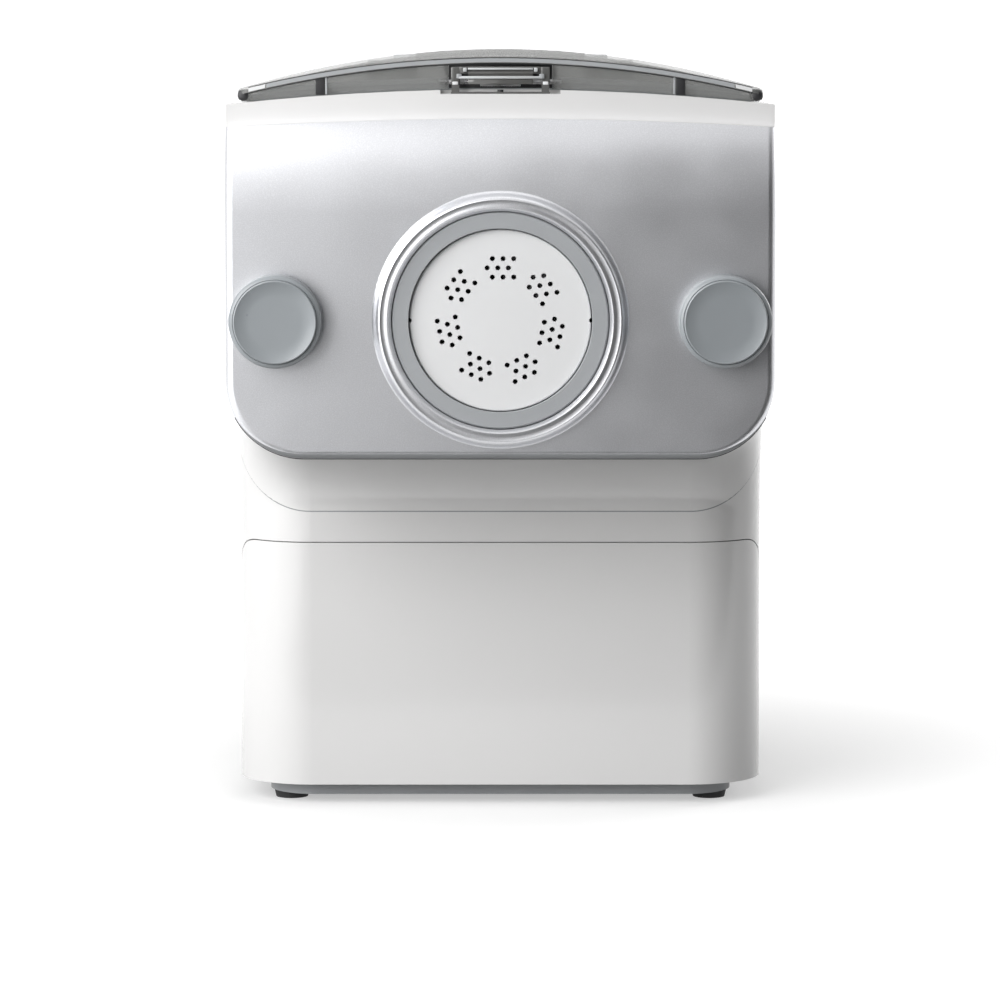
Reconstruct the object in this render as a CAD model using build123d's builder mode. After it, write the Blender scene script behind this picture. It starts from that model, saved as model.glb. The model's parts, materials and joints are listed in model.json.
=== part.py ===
from build123d import *
import math
import os

os.makedirs("parts", exist_ok=True)

# Electric pasta maker, in millimetres. The front faces -Y, +Z is up and the
# origin lies on the table under the middle of the machine.

# ---- body ----
body_width = 215.0
rear_y = 171.5
housing_front_y = -145.5
lower_front_y = -92.5
neck_z = 148.5                 # underside of the overhanging head
seam_z = 121.0                 # lowest line between upper and lower housing
seam_step_z = 145.0            # where that line runs out at the sides
housing_bottom_z = 8.0
corner_radius = 30.0
wall = 2.8
rear_parting_y = 130.0
rim_crest_z = 292.8
rim_radius = 985.0
rim_slab = 3.0
deck_crest_z = 307.4
deck_radius = 353.0
deck_front_y = 15.0
channel_front_y = -1.0
channel_floor_z = 287.0
half_width = body_width / 2
clear_above = 340.0            # higher than anything on the machine

# ---- small clearances ----
touch_gap = 0.3                # between bodies that move past each other
running_gap = 0.05             # radial, shafts in bearings
part_gap = 0.4                 # visible line round the drawer front

# ---- dough axis ----
axis_z = 203.0
tube_inner = 28.5
tube_outer = 31.0
tube_front_y = -149.7
flight_radius = 27.0
screw_core = 10.0
screw_pitch = 26.0
flight_thickness = 3.5
hex_across = 12.0
hex_gap = 0.1
shaft_radius = 8.0

# ---- front panel and shaping disc ----
panel_front_y = -157.5
panel_crest_z = 281.3
panel_radius = 1752.0
panel_corner = 30.4
panel_bend_z = 246.0
panel_top_y = -149.0
panel_skin = 2.0
panel_edge = 3.0
disc_radius = 35.5
disc_face_y = -158.0
disc_back_y = -150.0
disc_flange = 38.0
disc_hole = 1.0
ring_radius = 42.4
ring_face_y = -160.0
ring_lip_y = -154.3
bezel_inner = 44.0
bezel_outer = 48.5
bezel_crest_y = -161.5

# ---- clamp knobs ----
knob_x = 87.5
knob_radius = 18.1
knob_face_y = -171.5
knob_edge = 2.4
knob_shaft = 5.0
cam_half_length = 13.5
cam_half_width = 4.5
cam_thickness = 4.0

# ---- mixing chamber ----
chamber_front_y = -134.0
chamber_back_y = -7.0
chamber_wall = 2.5
trough_radius = 45.0           # inside
chamber_step_y = -84.0         # inside face of the wall that carries the tube
chamber_shelf_z = 238.5        # inside floor above the tube
chamber_mouth = 75.0           # half width inside at the top
chamber_flange = 99.0
flange_thickness = 2.5
flange_front_y = -136.0
flange_back_y = -8.5

# ---- screw and paddle on the hexagon of the drive shaft ----
paddle_end_gap = 2.0
paddle_front_y = chamber_step_y + paddle_end_gap
paddle_back_y = chamber_back_y - chamber_wall - paddle_end_gap
screw_front_y = -149.0
screw_back_y = chamber_step_y - 2.0
socket_depth = 12.6
socket_end_gap = 0.6

# ---- lid ----
lid_half = 103.2
lid_front_y = -142.0
lid_crest_z = 308.4
lid_wall = 2.5
lid_window = 20.4
lid_window_z = 303.0
hinge_y = 4.0
hinge_z = 299.5
hinge_pin = 2.0
knuckle_radius = 4.2
plunger_y = -141.2
plunger_radius = 1.2

# ---- screws and their seats ----
screw_radius = 1.5
screw_head_radius = 3.2
screw_head_height = 2.0
screw_gap = 0.05
tab_zs = (38.0, 240.0)
tab_x = 85.0
tab_thickness = 8.0

# ---- gear train ----
bulkhead_thickness = 4.0
output_module = 1.75
output_teeth = 60
pinion_teeth = 16
motor_module = 1.25
reduction_teeth = 64
motor_pinion_teeth = 12
gear_front_y = 9.0
gear_width = 11.0
second_gear_y = 24.0
second_gear_width = 8.0
cover_y = 36.0
cover_thickness = 4.0
output_centre = output_module * (output_teeth + pinion_teeth) / 2
motor_centre = motor_module * (reduction_teeth + motor_pinion_teeth) / 2
middle_z = axis_z - output_centre
motor_z = middle_z - motor_centre


def across(y):
    """Plane that faces the front at this depth; a positive extrude comes forward."""
    return Plane.XZ.offset(-y)


def save(piece, name):
    """Labels a finished piece and writes its STEP file."""
    piece.part.label = name
    export_step(piece.part, f"parts/{name}.step")


def crown_z(x, crest_z, radius):
    """Height of a crowned surface at this distance from the middle."""
    return crest_z - (radius - math.sqrt(radius**2 - x**2))


def crowned_block(half, floor_z, crest_z, radius, front_y, back_y):
    """Block with an arched top, between two depths."""
    end_z = crown_z(half, crest_z, radius)
    with BuildPart() as block:
        with BuildSketch(across(back_y)):
            with BuildLine():
                Polyline((half, end_z), (half, floor_z), (-half, floor_z), (-half, end_z))
                ThreePointArc((-half, end_z), (0, crest_z), (half, end_z))
            make_face()
        extrude(amount=back_y - front_y)
    return block.part


def envelope(inset):
    """Outer form of the whole body, drawn in by an inset on every side."""
    half = half_width - inset
    neck_drop = neck_z - seam_z
    neck_y = lower_front_y - neck_drop
    front = housing_front_y + inset
    lower = lower_front_y + inset
    under = neck_z + inset
    bottom = housing_bottom_z + inset
    rear = rear_y - inset
    with BuildPart() as form:
        with BuildSketch(Plane.YZ):
            with BuildLine():
                Polyline((front, clear_above), (front, under), (neck_y, under))
                CenterArc((neck_y, seam_z), neck_drop + inset, 0, 90)
                Polyline(
                    (lower, seam_z), (lower, bottom), (rear, bottom),
                    (rear, clear_above), (front, clear_above),
                )
            make_face()
        extrude(amount=half, both=True)
        side_edges = form.edges().filter_by(lambda e: abs(abs(e.center().X) - half) < 0.01)
        neck_edges = side_edges.filter_by(
            lambda e: e.center().Y < lower + 0.01 and e.center().Z < under + 0.01
        )
        fillet(neck_edges, corner_radius - inset)
        rear_edges = form.edges().filter_by(Axis.Z).filter_by(
            lambda e: e.center().Y > rear - 0.01
        )
        fillet(rear_edges, corner_radius - inset)
    return form.part


def seam_block():
    """Everything above the line between the upper and the lower housing."""
    arc_x = half_width - corner_radius
    arc_z = seam_z + corner_radius
    run_out = math.degrees(math.asin((arc_z - seam_step_z) / corner_radius))
    edge_x = arc_x + corner_radius * math.cos(math.radians(run_out))
    beyond = half_width + 20
    with BuildPart() as block:
        with BuildSketch(across(rear_y + 20)):
            with BuildLine():
                CenterArc((arc_x, arc_z), corner_radius, 270, 90 - run_out)
                Polyline(
                    (edge_x, seam_step_z), (beyond, seam_step_z), (beyond, clear_above + 10),
                    (-beyond, clear_above + 10), (-beyond, seam_step_z), (-edge_x, seam_step_z),
                )
                CenterArc((-arc_x, arc_z), corner_radius, 180 + run_out, 90 - run_out)
                Line((-arc_x, seam_z), (arc_x, seam_z))
            make_face()
        extrude(amount=rear_y - housing_front_y + 60)
    return block.part


def box_between(low, high):
    """Plain block between two corners."""
    with BuildPart() as block:
        with Locations([tuple((a + b) / 2 for a, b in zip(low, high))]):
            Box(*[b - a for a, b in zip(low, high)])
    return block.part


def ring(y_front, y_back, outer, inner, x=0.0, z=axis_z):
    """Flat ring or tube along Y between two depths."""
    with BuildPart() as tube:
        with BuildSketch(across(y_back)):
            with Locations((x, z)):
                Circle(outer)
                Circle(inner, mode=Mode.SUBTRACT)
        extrude(amount=y_back - y_front)
    return tube.part


def rod(y_front, y_back, radius, x=0.0, z=axis_z):
    """Round bar along Y between two depths."""
    with BuildPart() as bar:
        with BuildSketch(across(y_back)):
            with Locations((x, z)):
                Circle(radius)
        extrude(amount=y_back - y_front)
    return bar.part


def screw(y_head, length, x, z):
    """Cheese-head screw along Y, driven in from the rear."""
    with BuildPart() as item:
        add(rod(y_head, y_head + screw_head_height, screw_head_radius, x, z))
        add(rod(y_head + screw_head_height - 0.8, y_head + screw_head_height + 1, 1.6, x, z),
            mode=Mode.SUBTRACT)
        add(rod(y_head - length, y_head, screw_radius, x, z))
    return item.part


def tab(z):
    """Pair of blocks inside the side walls that the cover screws bite into."""
    with BuildPart() as pair:
        for side in (-1, 1):
            low, high = sorted((side * (tab_x - 7), side * (half_width - wall + 0.5)))
            add(box_between((low, rear_parting_y - tab_thickness, z - 7),
                            (high, rear_parting_y, z + 7)))
            add(rod(rear_parting_y - tab_thickness - 1, rear_parting_y + 1,
                    screw_radius + screw_gap, side * tab_x, z), mode=Mode.SUBTRACT)
    return pair.part


# ---- housings ----
outer_form = envelope(0)
inner_form = envelope(wall)
above_seam = seam_block()
drawer_back_y = -66.5
drawer_top_z = 108.5
drawer_corner = 16.0
mouth_radius = 34.0
cam_hole = 15.5
notch_half = 23.5
notch_z = 291.0
rim_opening = 80.0
rim_opening_front_y = -135.5
rim_opening_back_y = -3.0
fascia_half = 55.0
fascia_front_y = 40.0
fascia_back_y = 86.0
fascia_thickness = 1.6
fascia_ledge = 3.0
ear_half = 4.0
ear_x = 46.0


def drawer_zone(gap):
    """Part of the lower body that the drawer front takes up, smaller by a gap."""
    back = drawer_back_y - gap
    top = drawer_top_z - gap
    floor = housing_bottom_z + gap
    front = lower_front_y - 10
    with BuildPart() as zone:
        with BuildSketch(Plane.YZ):
            with BuildLine():
                Polyline((back, top - drawer_corner), (back, floor), (front, floor), (front, top))
                Line((front, top), (back - drawer_corner, top))
                CenterArc((back - drawer_corner, top - drawer_corner), drawer_corner, 0, 90)
            make_face()
        extrude(amount=half_width + 5, both=True)
    return zone.part


with BuildPart() as body_top:
    add(crowned_block(half_width, -10, rim_crest_z, rim_radius, housing_front_y - 5, channel_front_y))
    add(box_between((-half_width, channel_front_y, -10), (half_width, deck_front_y, channel_floor_z)))
    add(crowned_block(half_width, -10, deck_crest_z, deck_radius, deck_front_y, rear_y + 5))

with BuildPart() as body_room:
    add(crowned_block(half_width, -10, rim_crest_z - rim_slab, rim_radius, housing_front_y - 5, 0))
    add(box_between((-half_width, -1, -10), (half_width, deck_front_y + wall, channel_floor_z - wall)))
    add(crowned_block(half_width, -10, deck_crest_z - wall, deck_radius - wall,
                      deck_front_y + wall, rear_y + 5))
    add(inner_form, mode=Mode.INTERSECT)

with BuildPart() as body_shell:
    add(outer_form)
    add(body_top.part, mode=Mode.INTERSECT)
    add(body_room.part, mode=Mode.SUBTRACT)

front_half = box_between(
    (-half_width - 5, housing_front_y - 5, -5), (half_width + 5, rear_parting_y, clear_above)
)

with BuildPart() as upper_housing:
    add(body_shell.part)
    add(above_seam, mode=Mode.INTERSECT)
    add(front_half, mode=Mode.INTERSECT)
    # opening that the mixing chamber drops into, and the notch under the latch
    add(box_between((-rim_opening, rim_opening_front_y, 280), (rim_opening, rim_opening_back_y, 300)),
        mode=Mode.SUBTRACT)
    add(box_between((-notch_half, housing_front_y - 1, notch_z), (notch_half, -137, 300)),
        mode=Mode.SUBTRACT)
    # dough outlet and the two holes for the clamp cams
    add(rod(housing_front_y - 1, housing_front_y + wall + 1, mouth_radius), mode=Mode.SUBTRACT)
    for side in (-1, 1):
        add(rod(housing_front_y - 1, housing_front_y + wall + 1, cam_hole, x=side * knob_x),
            mode=Mode.SUBTRACT)
    # recess and window for the control fascia
    recess_z = deck_crest_z - fascia_thickness
    with BuildSketch(Plane.XY.offset(clear_above)):
        with Locations((0, (fascia_front_y + fascia_back_y) / 2)):
            RectangleRounded(2 * fascia_half + 2 * touch_gap,
                             fascia_back_y - fascia_front_y + 2 * touch_gap, 6)
    recess = extrude(amount=-(clear_above - 280), mode=Mode.PRIVATE)
    under_recess = crowned_block(half_width, 270, recess_z, deck_radius - fascia_thickness,
                                 deck_front_y, rear_parting_y)
    add(recess - under_recess, mode=Mode.SUBTRACT)
    add(box_between((-fascia_half + fascia_ledge, fascia_front_y + fascia_ledge, 280),
                    (fascia_half - fascia_ledge, fascia_back_y - fascia_ledge, clear_above)),
        mode=Mode.SUBTRACT)
    # hinge ears in the channel behind the lid
    for side in (-1, 1):
        with BuildSketch(Plane.YZ.offset(side * ear_x - ear_half)):
            with Locations((hinge_y, hinge_z)):
                Circle(knuckle_radius)
            with Locations((hinge_y, (hinge_z + channel_floor_z - 1) / 2)):
                Rectangle(2 * knuckle_radius, hinge_z - channel_floor_z + 1)
        extrude(amount=2 * ear_half)
        with BuildSketch(Plane.YZ.offset(side * ear_x - ear_half - 1)):
            with Locations((hinge_y, hinge_z)):
                Circle(hinge_pin + running_gap)
        extrude(amount=2 * ear_half + 2, mode=Mode.SUBTRACT)
    # hole for the plunger of the lid switch, and seats for the cover screws
    with BuildSketch(Plane.XY.offset(rim_crest_z - 3 * rim_slab)):
        with Locations((0, plunger_y)):
            Circle(plunger_radius + touch_gap)
    extrude(amount=5 * rim_slab, mode=Mode.SUBTRACT)
    add(tab(tab_zs[1]))
save(upper_housing, "upper_housing")


# ---- lower housing, rear cover and base ----
boss_radius = 4.5
boss_top_z = 20.0
base_bottom_z = 3.0
base_half = 95.4
base_front_y = -84.0
base_back_y = 160.0
base_corner = 20.0
base_screw_x = 92.0
base_screw_ys = (-45.0, 30.0, 105.0)
foot_x = 86.4
foot_ys = (-70.0, 145.0)
foot_radius = 7.3
foot_top_radius = 6.6
well_radius = 4.2
well_wall = 2.0
well_floor_y = rear_parting_y + 6.0
inlet_x = 55.0
inlet_z = 40.0
inlet_width = 27.0
inlet_height = 20.0
inlet_depth = 24.0
vent_zs = [70.0 + 9.0 * k for k in range(9)]
vent_half = 34.0
vent_height = 3.2
base_screw_places = [(side * base_screw_x, y) for side in (-1, 1) for y in base_screw_ys]

with BuildPart() as lower_housing:
    add(body_shell.part)
    add(above_seam, mode=Mode.SUBTRACT)
    add(front_half, mode=Mode.INTERSECT)
    add(drawer_zone(0), mode=Mode.SUBTRACT)
    # bosses for the base screws
    with BuildSketch(Plane.XY.offset(housing_bottom_z)):
        with Locations(base_screw_places):
            Circle(boss_radius)
    extrude(amount=boss_top_z - housing_bottom_z)
    with BuildSketch(Plane.XY.offset(housing_bottom_z - 1)):
        with Locations(base_screw_places):
            Circle(screw_radius + screw_gap)
    extrude(amount=boss_top_z - housing_bottom_z, mode=Mode.SUBTRACT)
    add(tab(tab_zs[0]))
save(lower_housing, "lower_housing")

with BuildPart() as rear_cover:
    add(body_shell.part)
    add(front_half, mode=Mode.SUBTRACT)
    for side in (-1, 1):
        for z in tab_zs:
            add(rod(rear_parting_y, rear_y - wall + 0.5, well_radius + well_wall, side * tab_x, z))
    for z in vent_zs:
        with BuildSketch(across(rear_y + 1)):
            with Locations((0, z)):
                SlotOverall(2 * vent_half, vent_height)
        extrude(amount=wall + 2, mode=Mode.SUBTRACT)
    add(box_between((inlet_x - inlet_width / 2 - touch_gap, rear_y - wall - 1,
                     inlet_z - inlet_height / 2 - touch_gap),
                    (inlet_x + inlet_width / 2 + touch_gap, rear_y + 1,
                     inlet_z + inlet_height / 2 + touch_gap)), mode=Mode.SUBTRACT)
    for side in (-1, 1):
        for z in tab_zs:
            add(rod(well_floor_y, rear_y + 1, well_radius, side * tab_x, z), mode=Mode.SUBTRACT)
            add(rod(rear_parting_y - 1, well_floor_y + 1, screw_radius + screw_gap,
                    side * tab_x, z), mode=Mode.SUBTRACT)
save(rear_cover, "rear_cover")

with BuildPart() as base_plate:
    with BuildSketch(Plane.XY.offset(base_bottom_z)):
        with Locations((0, (base_front_y + base_back_y) / 2)):
            RectangleRounded(2 * base_half, base_back_y - base_front_y, base_corner)
    extrude(amount=housing_bottom_z - base_bottom_z)
    with BuildSketch(Plane.XY.offset(base_bottom_z)):
        with Locations(base_screw_places):
            Circle(screw_radius + screw_gap)
    extrude(amount=housing_bottom_z, mode=Mode.SUBTRACT)
    with BuildSketch(Plane.XY.offset(base_bottom_z)):
        with Locations(base_screw_places):
            Circle(screw_head_radius + screw_gap)
    extrude(amount=screw_head_height + screw_gap, mode=Mode.SUBTRACT)
save(base_plate, "base_plate")

with BuildPart() as housing_screws:
    for side in (-1, 1):
        for z in tab_zs:
            add(screw(well_floor_y + screw_gap, 12.0, side * tab_x, z))
    with BuildSketch(Plane.XY.offset(base_bottom_z)):
        with Locations(base_screw_places):
            Circle(screw_head_radius)
    extrude(amount=screw_head_height)
    with BuildSketch(Plane.XY.offset(base_bottom_z)):
        with Locations(base_screw_places):
            Circle(screw_radius)
    extrude(amount=boss_top_z - base_bottom_z - 3)
save(housing_screws, "housing_screws")

with BuildPart() as feet:
    for side in (-1, 1):
        for y in foot_ys:
            with BuildSketch(Plane.XY) as sole:
                with Locations((side * foot_x, y)):
                    Circle(foot_top_radius)
            with BuildSketch(Plane.XY.offset(base_bottom_z)) as pad:
                with Locations((side * foot_x, y)):
                    Circle(foot_radius)
            loft([sole.sketch, pad.sketch])
save(feet, "feet")


# ---- bulkhead, gear case and gears ----
bearing_outer = 16.0
bearing_width = 7.0
rear_journal = 6.0
rear_bearing_outer = 12.0
case_half = 60.0
case_bottom_z = 74.0
case_top_z = 262.0
case_corner = 18.0
case_wall = 3.0
pin_radius = 4.0
motor_shaft_radius = 4.0
addendum = 0.7
dedendum = 1.0
backlash = 0.12                # of the module, taken off each tooth
pressure_angle = math.radians(20)


def gear(module, teeth, y_front, y_back, bore, z, tooth_angle):
    """Spur gear about Y with one tooth pointing at the given angle in the XZ plane."""
    pitch = module * teeth / 2
    base = pitch * math.cos(pressure_angle)
    half_tooth = (math.pi / 2 - backlash) * module / (2 * pitch)
    radii = [pitch - dedendum * module, pitch - 0.4 * module, pitch, pitch + 0.4 * module,
             pitch + addendum * module]

    def half_angle(radius):
        turn = math.acos(min(1.0, base / radius))
        return (half_tooth + math.tan(pressure_angle) - pressure_angle
                - (math.tan(turn) - turn))

    points = []
    for k in range(teeth):
        middle = math.radians(tooth_angle) + 2 * math.pi * k / teeth
        flank = [(r, -half_angle(r)) for r in radii] + [(r, half_angle(r)) for r in radii[::-1]]
        points += [(r * math.cos(middle + a), z + r * math.sin(middle + a)) for r, a in flank]
    with BuildPart() as wheel:
        with BuildSketch(across(y_back)):
            with BuildLine():
                Polyline(*points, close=True)
            make_face()
            with Locations((0, z)):
                Circle(bore, mode=Mode.SUBTRACT)
        extrude(amount=y_back - y_front)
    return wheel.part


with BuildPart() as bulkhead:
    add(inner_form)
    add(box_between((-half_width, 0, 0), (half_width, bulkhead_thickness, channel_floor_z - wall)),
        mode=Mode.INTERSECT)
    add(ring(bulkhead_thickness - 0.5, bearing_width + 1, bearing_outer + 4, bearing_outer))
    add(rod(-1, bearing_width + 1, bearing_outer), mode=Mode.SUBTRACT)
    add(rod(-1, bulkhead_thickness + 1, pin_radius + running_gap, z=middle_z), mode=Mode.SUBTRACT)
save(bulkhead, "bulkhead")

with BuildPart() as gear_case:
    with BuildSketch(across(cover_y)):
        with Locations((0, (case_bottom_z + case_top_z) / 2)):
            RectangleRounded(2 * case_half, case_top_z - case_bottom_z, case_corner)
            RectangleRounded(2 * (case_half - case_wall), case_top_z - case_bottom_z - 2 * case_wall,
                             case_corner - case_wall, mode=Mode.SUBTRACT)
    extrude(amount=cover_y - bulkhead_thickness)
save(gear_case, "gear_case")

with BuildPart() as gear_cover:
    with BuildSketch(across(cover_y + cover_thickness)):
        with Locations((0, (case_bottom_z + case_top_z) / 2)):
            RectangleRounded(2 * case_half, case_top_z - case_bottom_z, case_corner)
        with Locations((0, axis_z)):
            Circle(rear_bearing_outer, mode=Mode.SUBTRACT)
        with Locations((0, middle_z)):
            Circle(pin_radius + running_gap, mode=Mode.SUBTRACT)
        with Locations((0, motor_z)):
            Circle(motor_shaft_radius + 1, mode=Mode.SUBTRACT)
    extrude(amount=cover_thickness)
save(gear_cover, "gear_cover")

with BuildPart() as drive_shaft:
    shoulder_y = paddle_back_y + touch_gap
    with BuildSketch(across(shoulder_y)):
        with Locations((0, axis_z)):
            RegularPolygon(hex_across / 2, 6, major_radius=False)
    extrude(amount=shoulder_y - screw_back_y + socket_depth - socket_end_gap)
    add(rod(shoulder_y, gear_front_y + gear_width + 4, shaft_radius))
    add(rod(gear_front_y + gear_width + 3, cover_y + cover_thickness + 1, rear_journal))
save(drive_shaft, "drive_shaft")

with BuildPart() as output_gear:
    add(gear(output_module, output_teeth, gear_front_y, gear_front_y + gear_width,
             shaft_radius + running_gap, axis_z, 270))
    for turn in range(6):
        angle = math.radians(30 + 60 * turn)
        add(rod(gear_front_y - 1, gear_front_y + gear_width + 1, 10.0,
                33 * math.cos(angle), axis_z + 33 * math.sin(angle)), mode=Mode.SUBTRACT)
save(output_gear, "output_gear")

with BuildPart() as intermediate_gear:
    add(gear(output_module, pinion_teeth, gear_front_y - 1, second_gear_y + 1,
             pin_radius + running_gap, middle_z, 90 + 180 / pinion_teeth))
    add(gear(motor_module, reduction_teeth, second_gear_y, second_gear_y + second_gear_width,
             pin_radius + running_gap, middle_z, 270))
save(intermediate_gear, "intermediate_gear")

with BuildPart() as intermediate_pin:
    add(rod(0, cover_y + cover_thickness, pin_radius, z=middle_z))
save(intermediate_pin, "intermediate_pin")

with BuildPart() as motor_pinion:
    add(gear(motor_module, motor_pinion_teeth, second_gear_y - 1,
             second_gear_y + second_gear_width + 1, motor_shaft_radius + running_gap,
             motor_z, 90 + 180 / motor_pinion_teeth))
save(motor_pinion, "motor_pinion")


# ---- motor ----
motor_front_y = cover_y + cover_thickness
bracket_thickness = 5.0
motor_half = 40.0
stator_front_y = 54.0
stator_back_y = 96.0
rear_bracket_y = 104.0
bore_radius = 25.0
air_gap = 0.6
bolt_place = 33.0
bolt_radius = 2.0
shaft_end_y = 127.0
fan_y = 116.0
fan_radius = 36.0
motor_bearing_outer = 9.0


def motor_plate(y_front, y_back, hole):
    """Square end plate of the motor with four bolt holes."""
    with BuildPart() as plate:
        with BuildSketch(across(y_back)):
            with Locations((0, motor_z)):
                RectangleRounded(2 * motor_half, 2 * motor_half, 12)
                Circle(hole, mode=Mode.SUBTRACT)
                with GridLocations(2 * bolt_place, 2 * bolt_place, 2, 2):
                    Circle(bolt_radius + running_gap, mode=Mode.SUBTRACT)
        extrude(amount=y_back - y_front)
    return plate.part


with BuildPart() as motor_stator:
    add(motor_plate(stator_front_y, stator_back_y, bore_radius))
save(motor_stator, "motor_stator")

with BuildPart() as motor_coils:
    add(ring(stator_front_y - 6, stator_front_y, 30, bore_radius + 1, z=motor_z))
    add(ring(stator_back_y, stator_back_y + 6, 30, bore_radius + 1, z=motor_z))
save(motor_coils, "motor_coils")

motor_bolt_places = [(sx * bolt_place, motor_z + sz * bolt_place)
                     for sx in (-1, 1) for sz in (-1, 1)]

with BuildPart() as motor_brackets:
    add(motor_plate(motor_front_y, motor_front_y + bracket_thickness, motor_bearing_outer))
    add(motor_plate(rear_bracket_y, rear_bracket_y + bracket_thickness, motor_bearing_outer))
    for x, z in motor_bolt_places:
        add(ring(motor_front_y + bracket_thickness, stator_front_y, bolt_radius + 2,
                 bolt_radius + running_gap, x, z))
        add(ring(stator_back_y, rear_bracket_y, bolt_radius + 2, bolt_radius + running_gap, x, z))
save(motor_brackets, "motor_brackets")

with BuildPart() as motor_bolts:
    for x, z in motor_bolt_places:
        add(rod(motor_front_y + 0.1, rear_bracket_y + bracket_thickness, bolt_radius, x, z))
        add(rod(rear_bracket_y + bracket_thickness, rear_bracket_y + bracket_thickness + 3, 3.5, x, z))
save(motor_bolts, "motor_bolts")

with BuildPart() as bearings:
    add(ring(0, bearing_width, bearing_outer, shaft_radius + running_gap))
    add(ring(cover_y - 2, cover_y + cover_thickness, rear_bearing_outer, rear_journal + running_gap))
    for y in (motor_front_y, rear_bracket_y):
        add(ring(y, y + bracket_thickness, motor_bearing_outer, motor_shaft_radius + running_gap,
                 z=motor_z))
save(bearings, "bearings")

with BuildPart() as motor_rotor:
    add(rod(second_gear_y - 2, shaft_end_y, motor_shaft_radius, z=motor_z))
    add(rod(stator_front_y + 1, stator_back_y - 1, bore_radius - air_gap, z=motor_z))
save(motor_rotor, "motor_rotor")

with BuildPart() as cooling_fan:
    add(ring(fan_y, fan_y + 9, 9, motor_shaft_radius + running_gap, z=motor_z))
    for k in range(9):
        with BuildSketch(across(fan_y + 9)):
            with Locations((0, motor_z)):
                with PolarLocations((8 + fan_radius) / 2, 1, start_angle=40 * k):
                    Rectangle(fan_radius - 8, 2.2)
        extrude(amount=9)
save(cooling_fan, "cooling_fan")


# ---- mixing chamber, tube, screw and paddle ----
flange_gap = 0.1
flange_crest_z = rim_crest_z + flange_gap + flange_thickness
seal_height = 1.2
shaft_seal_outer = 12.0
paddle_radius = 36.0
paddle_bar = 3.2
paddle_arm = 2.6
hub_radius = 11.0
frame_front_y = housing_front_y + wall + 0.1
frame_back_y = -139.0
frame_half = 98.0
frame_bottom_z = 156.0
frame_top_z = 276.0


def chamber_block(grow, floor_z, y_front, y_back):
    """Trough with flaring sides, grown by a wall, above a floor height."""
    radius = trough_radius + grow
    top = 300.0
    with BuildPart() as block:
        with BuildSketch(across(y_back)):
            with BuildLine():
                Polyline((radius, axis_z), (chamber_mouth + grow, top),
                         (-chamber_mouth - grow, top), (-radius, axis_z))
                ThreePointArc((-radius, axis_z), (0, axis_z - radius), (radius, axis_z))
            make_face()
        extrude(amount=y_back - y_front)
        add(box_between((-100, y_front, floor_z), (100, y_back, top)), mode=Mode.INTERSECT)
    return block.part


with BuildPart() as mixing_chamber:
    add(chamber_block(chamber_wall, 100, chamber_step_y - chamber_wall, chamber_back_y))
    add(chamber_block(chamber_wall, chamber_shelf_z - chamber_wall, chamber_front_y,
                      chamber_step_y))
    add(crowned_block(half_width, 0, flange_crest_z - 0.5, rim_radius, chamber_front_y - 5, 0),
        mode=Mode.INTERSECT)
    flange = crowned_block(chamber_flange, 200, flange_crest_z, rim_radius, flange_front_y,
                           flange_back_y)
    add(flange - crowned_block(half_width, 100, rim_crest_z + flange_gap, rim_radius,
                               flange_front_y - 1, flange_back_y + 1))
    add(chamber_block(0, 100, chamber_step_y, chamber_back_y - chamber_wall), mode=Mode.SUBTRACT)
    add(chamber_block(0, chamber_shelf_z, chamber_front_y + chamber_wall, chamber_step_y + 0.1),
        mode=Mode.SUBTRACT)
    add(rod(chamber_step_y - chamber_wall - 1, chamber_step_y + 1, tube_outer + running_gap),
        mode=Mode.SUBTRACT)
    add(rod(chamber_back_y - chamber_wall - 1, chamber_back_y + 1, shaft_seal_outer),
        mode=Mode.SUBTRACT)
save(mixing_chamber, "mixing_chamber")

with BuildPart() as chamber_seals:
    seal_low_z = flange_crest_z + running_gap
    add(crowned_block(chamber_flange - 4, 200, seal_low_z + seal_height, rim_radius,
                      flange_front_y + 3, flange_back_y - 3))
    add(crowned_block(half_width, 100, seal_low_z, rim_radius, flange_front_y, flange_back_y),
        mode=Mode.SUBTRACT)
    add(box_between((-chamber_flange + 8, flange_front_y + 7, 200),
                    (chamber_flange - 8, flange_back_y - 7, 310)), mode=Mode.SUBTRACT)
    add(ring(chamber_back_y - chamber_wall, chamber_back_y, shaft_seal_outer - running_gap,
             shaft_radius + 2 * running_gap))
save(chamber_seals, "chamber_seals")

with BuildPart() as extrusion_tube:
    add(ring(tube_front_y, chamber_step_y, tube_outer, tube_inner))
    add(ring(frame_back_y + 0.1, frame_back_y + 2.6, tube_outer + 4, tube_outer - 0.5))
save(extrusion_tube, "extrusion_tube")

# The flight is the screw's cross-section, a core with one lobe, twisted along its length.
lobe_angle = 360 * flight_thickness / screw_pitch
flight_length = screw_back_y - screw_front_y
with BuildSketch() as screw_section:
    Circle(screw_core)
    with BuildLine():
        lobe = CenterArc((0, 0), flight_radius, -lobe_angle / 2, lobe_angle)
        Polyline(lobe @ 1, (0, 0), lobe @ 0)
    make_face()
flight = Solid.extrude_linear_with_rotation(
    screw_section.sketch.faces()[0], (0, 0, 0), (0, 0, flight_length),
    360 * flight_length / screw_pitch
)

with BuildPart() as extrusion_screw:
    add(flight.moved(Location(Plane(origin=(0, screw_back_y, axis_z), z_dir=(0, -1, 0)))))
    with BuildSketch(across(screw_back_y + 1)):
        with Locations((0, axis_z)):
            RegularPolygon(hex_across / 2 + hex_gap, 6, major_radius=False)
    extrude(amount=socket_depth + 1, mode=Mode.SUBTRACT)
save(extrusion_screw, "extrusion_screw")

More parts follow.
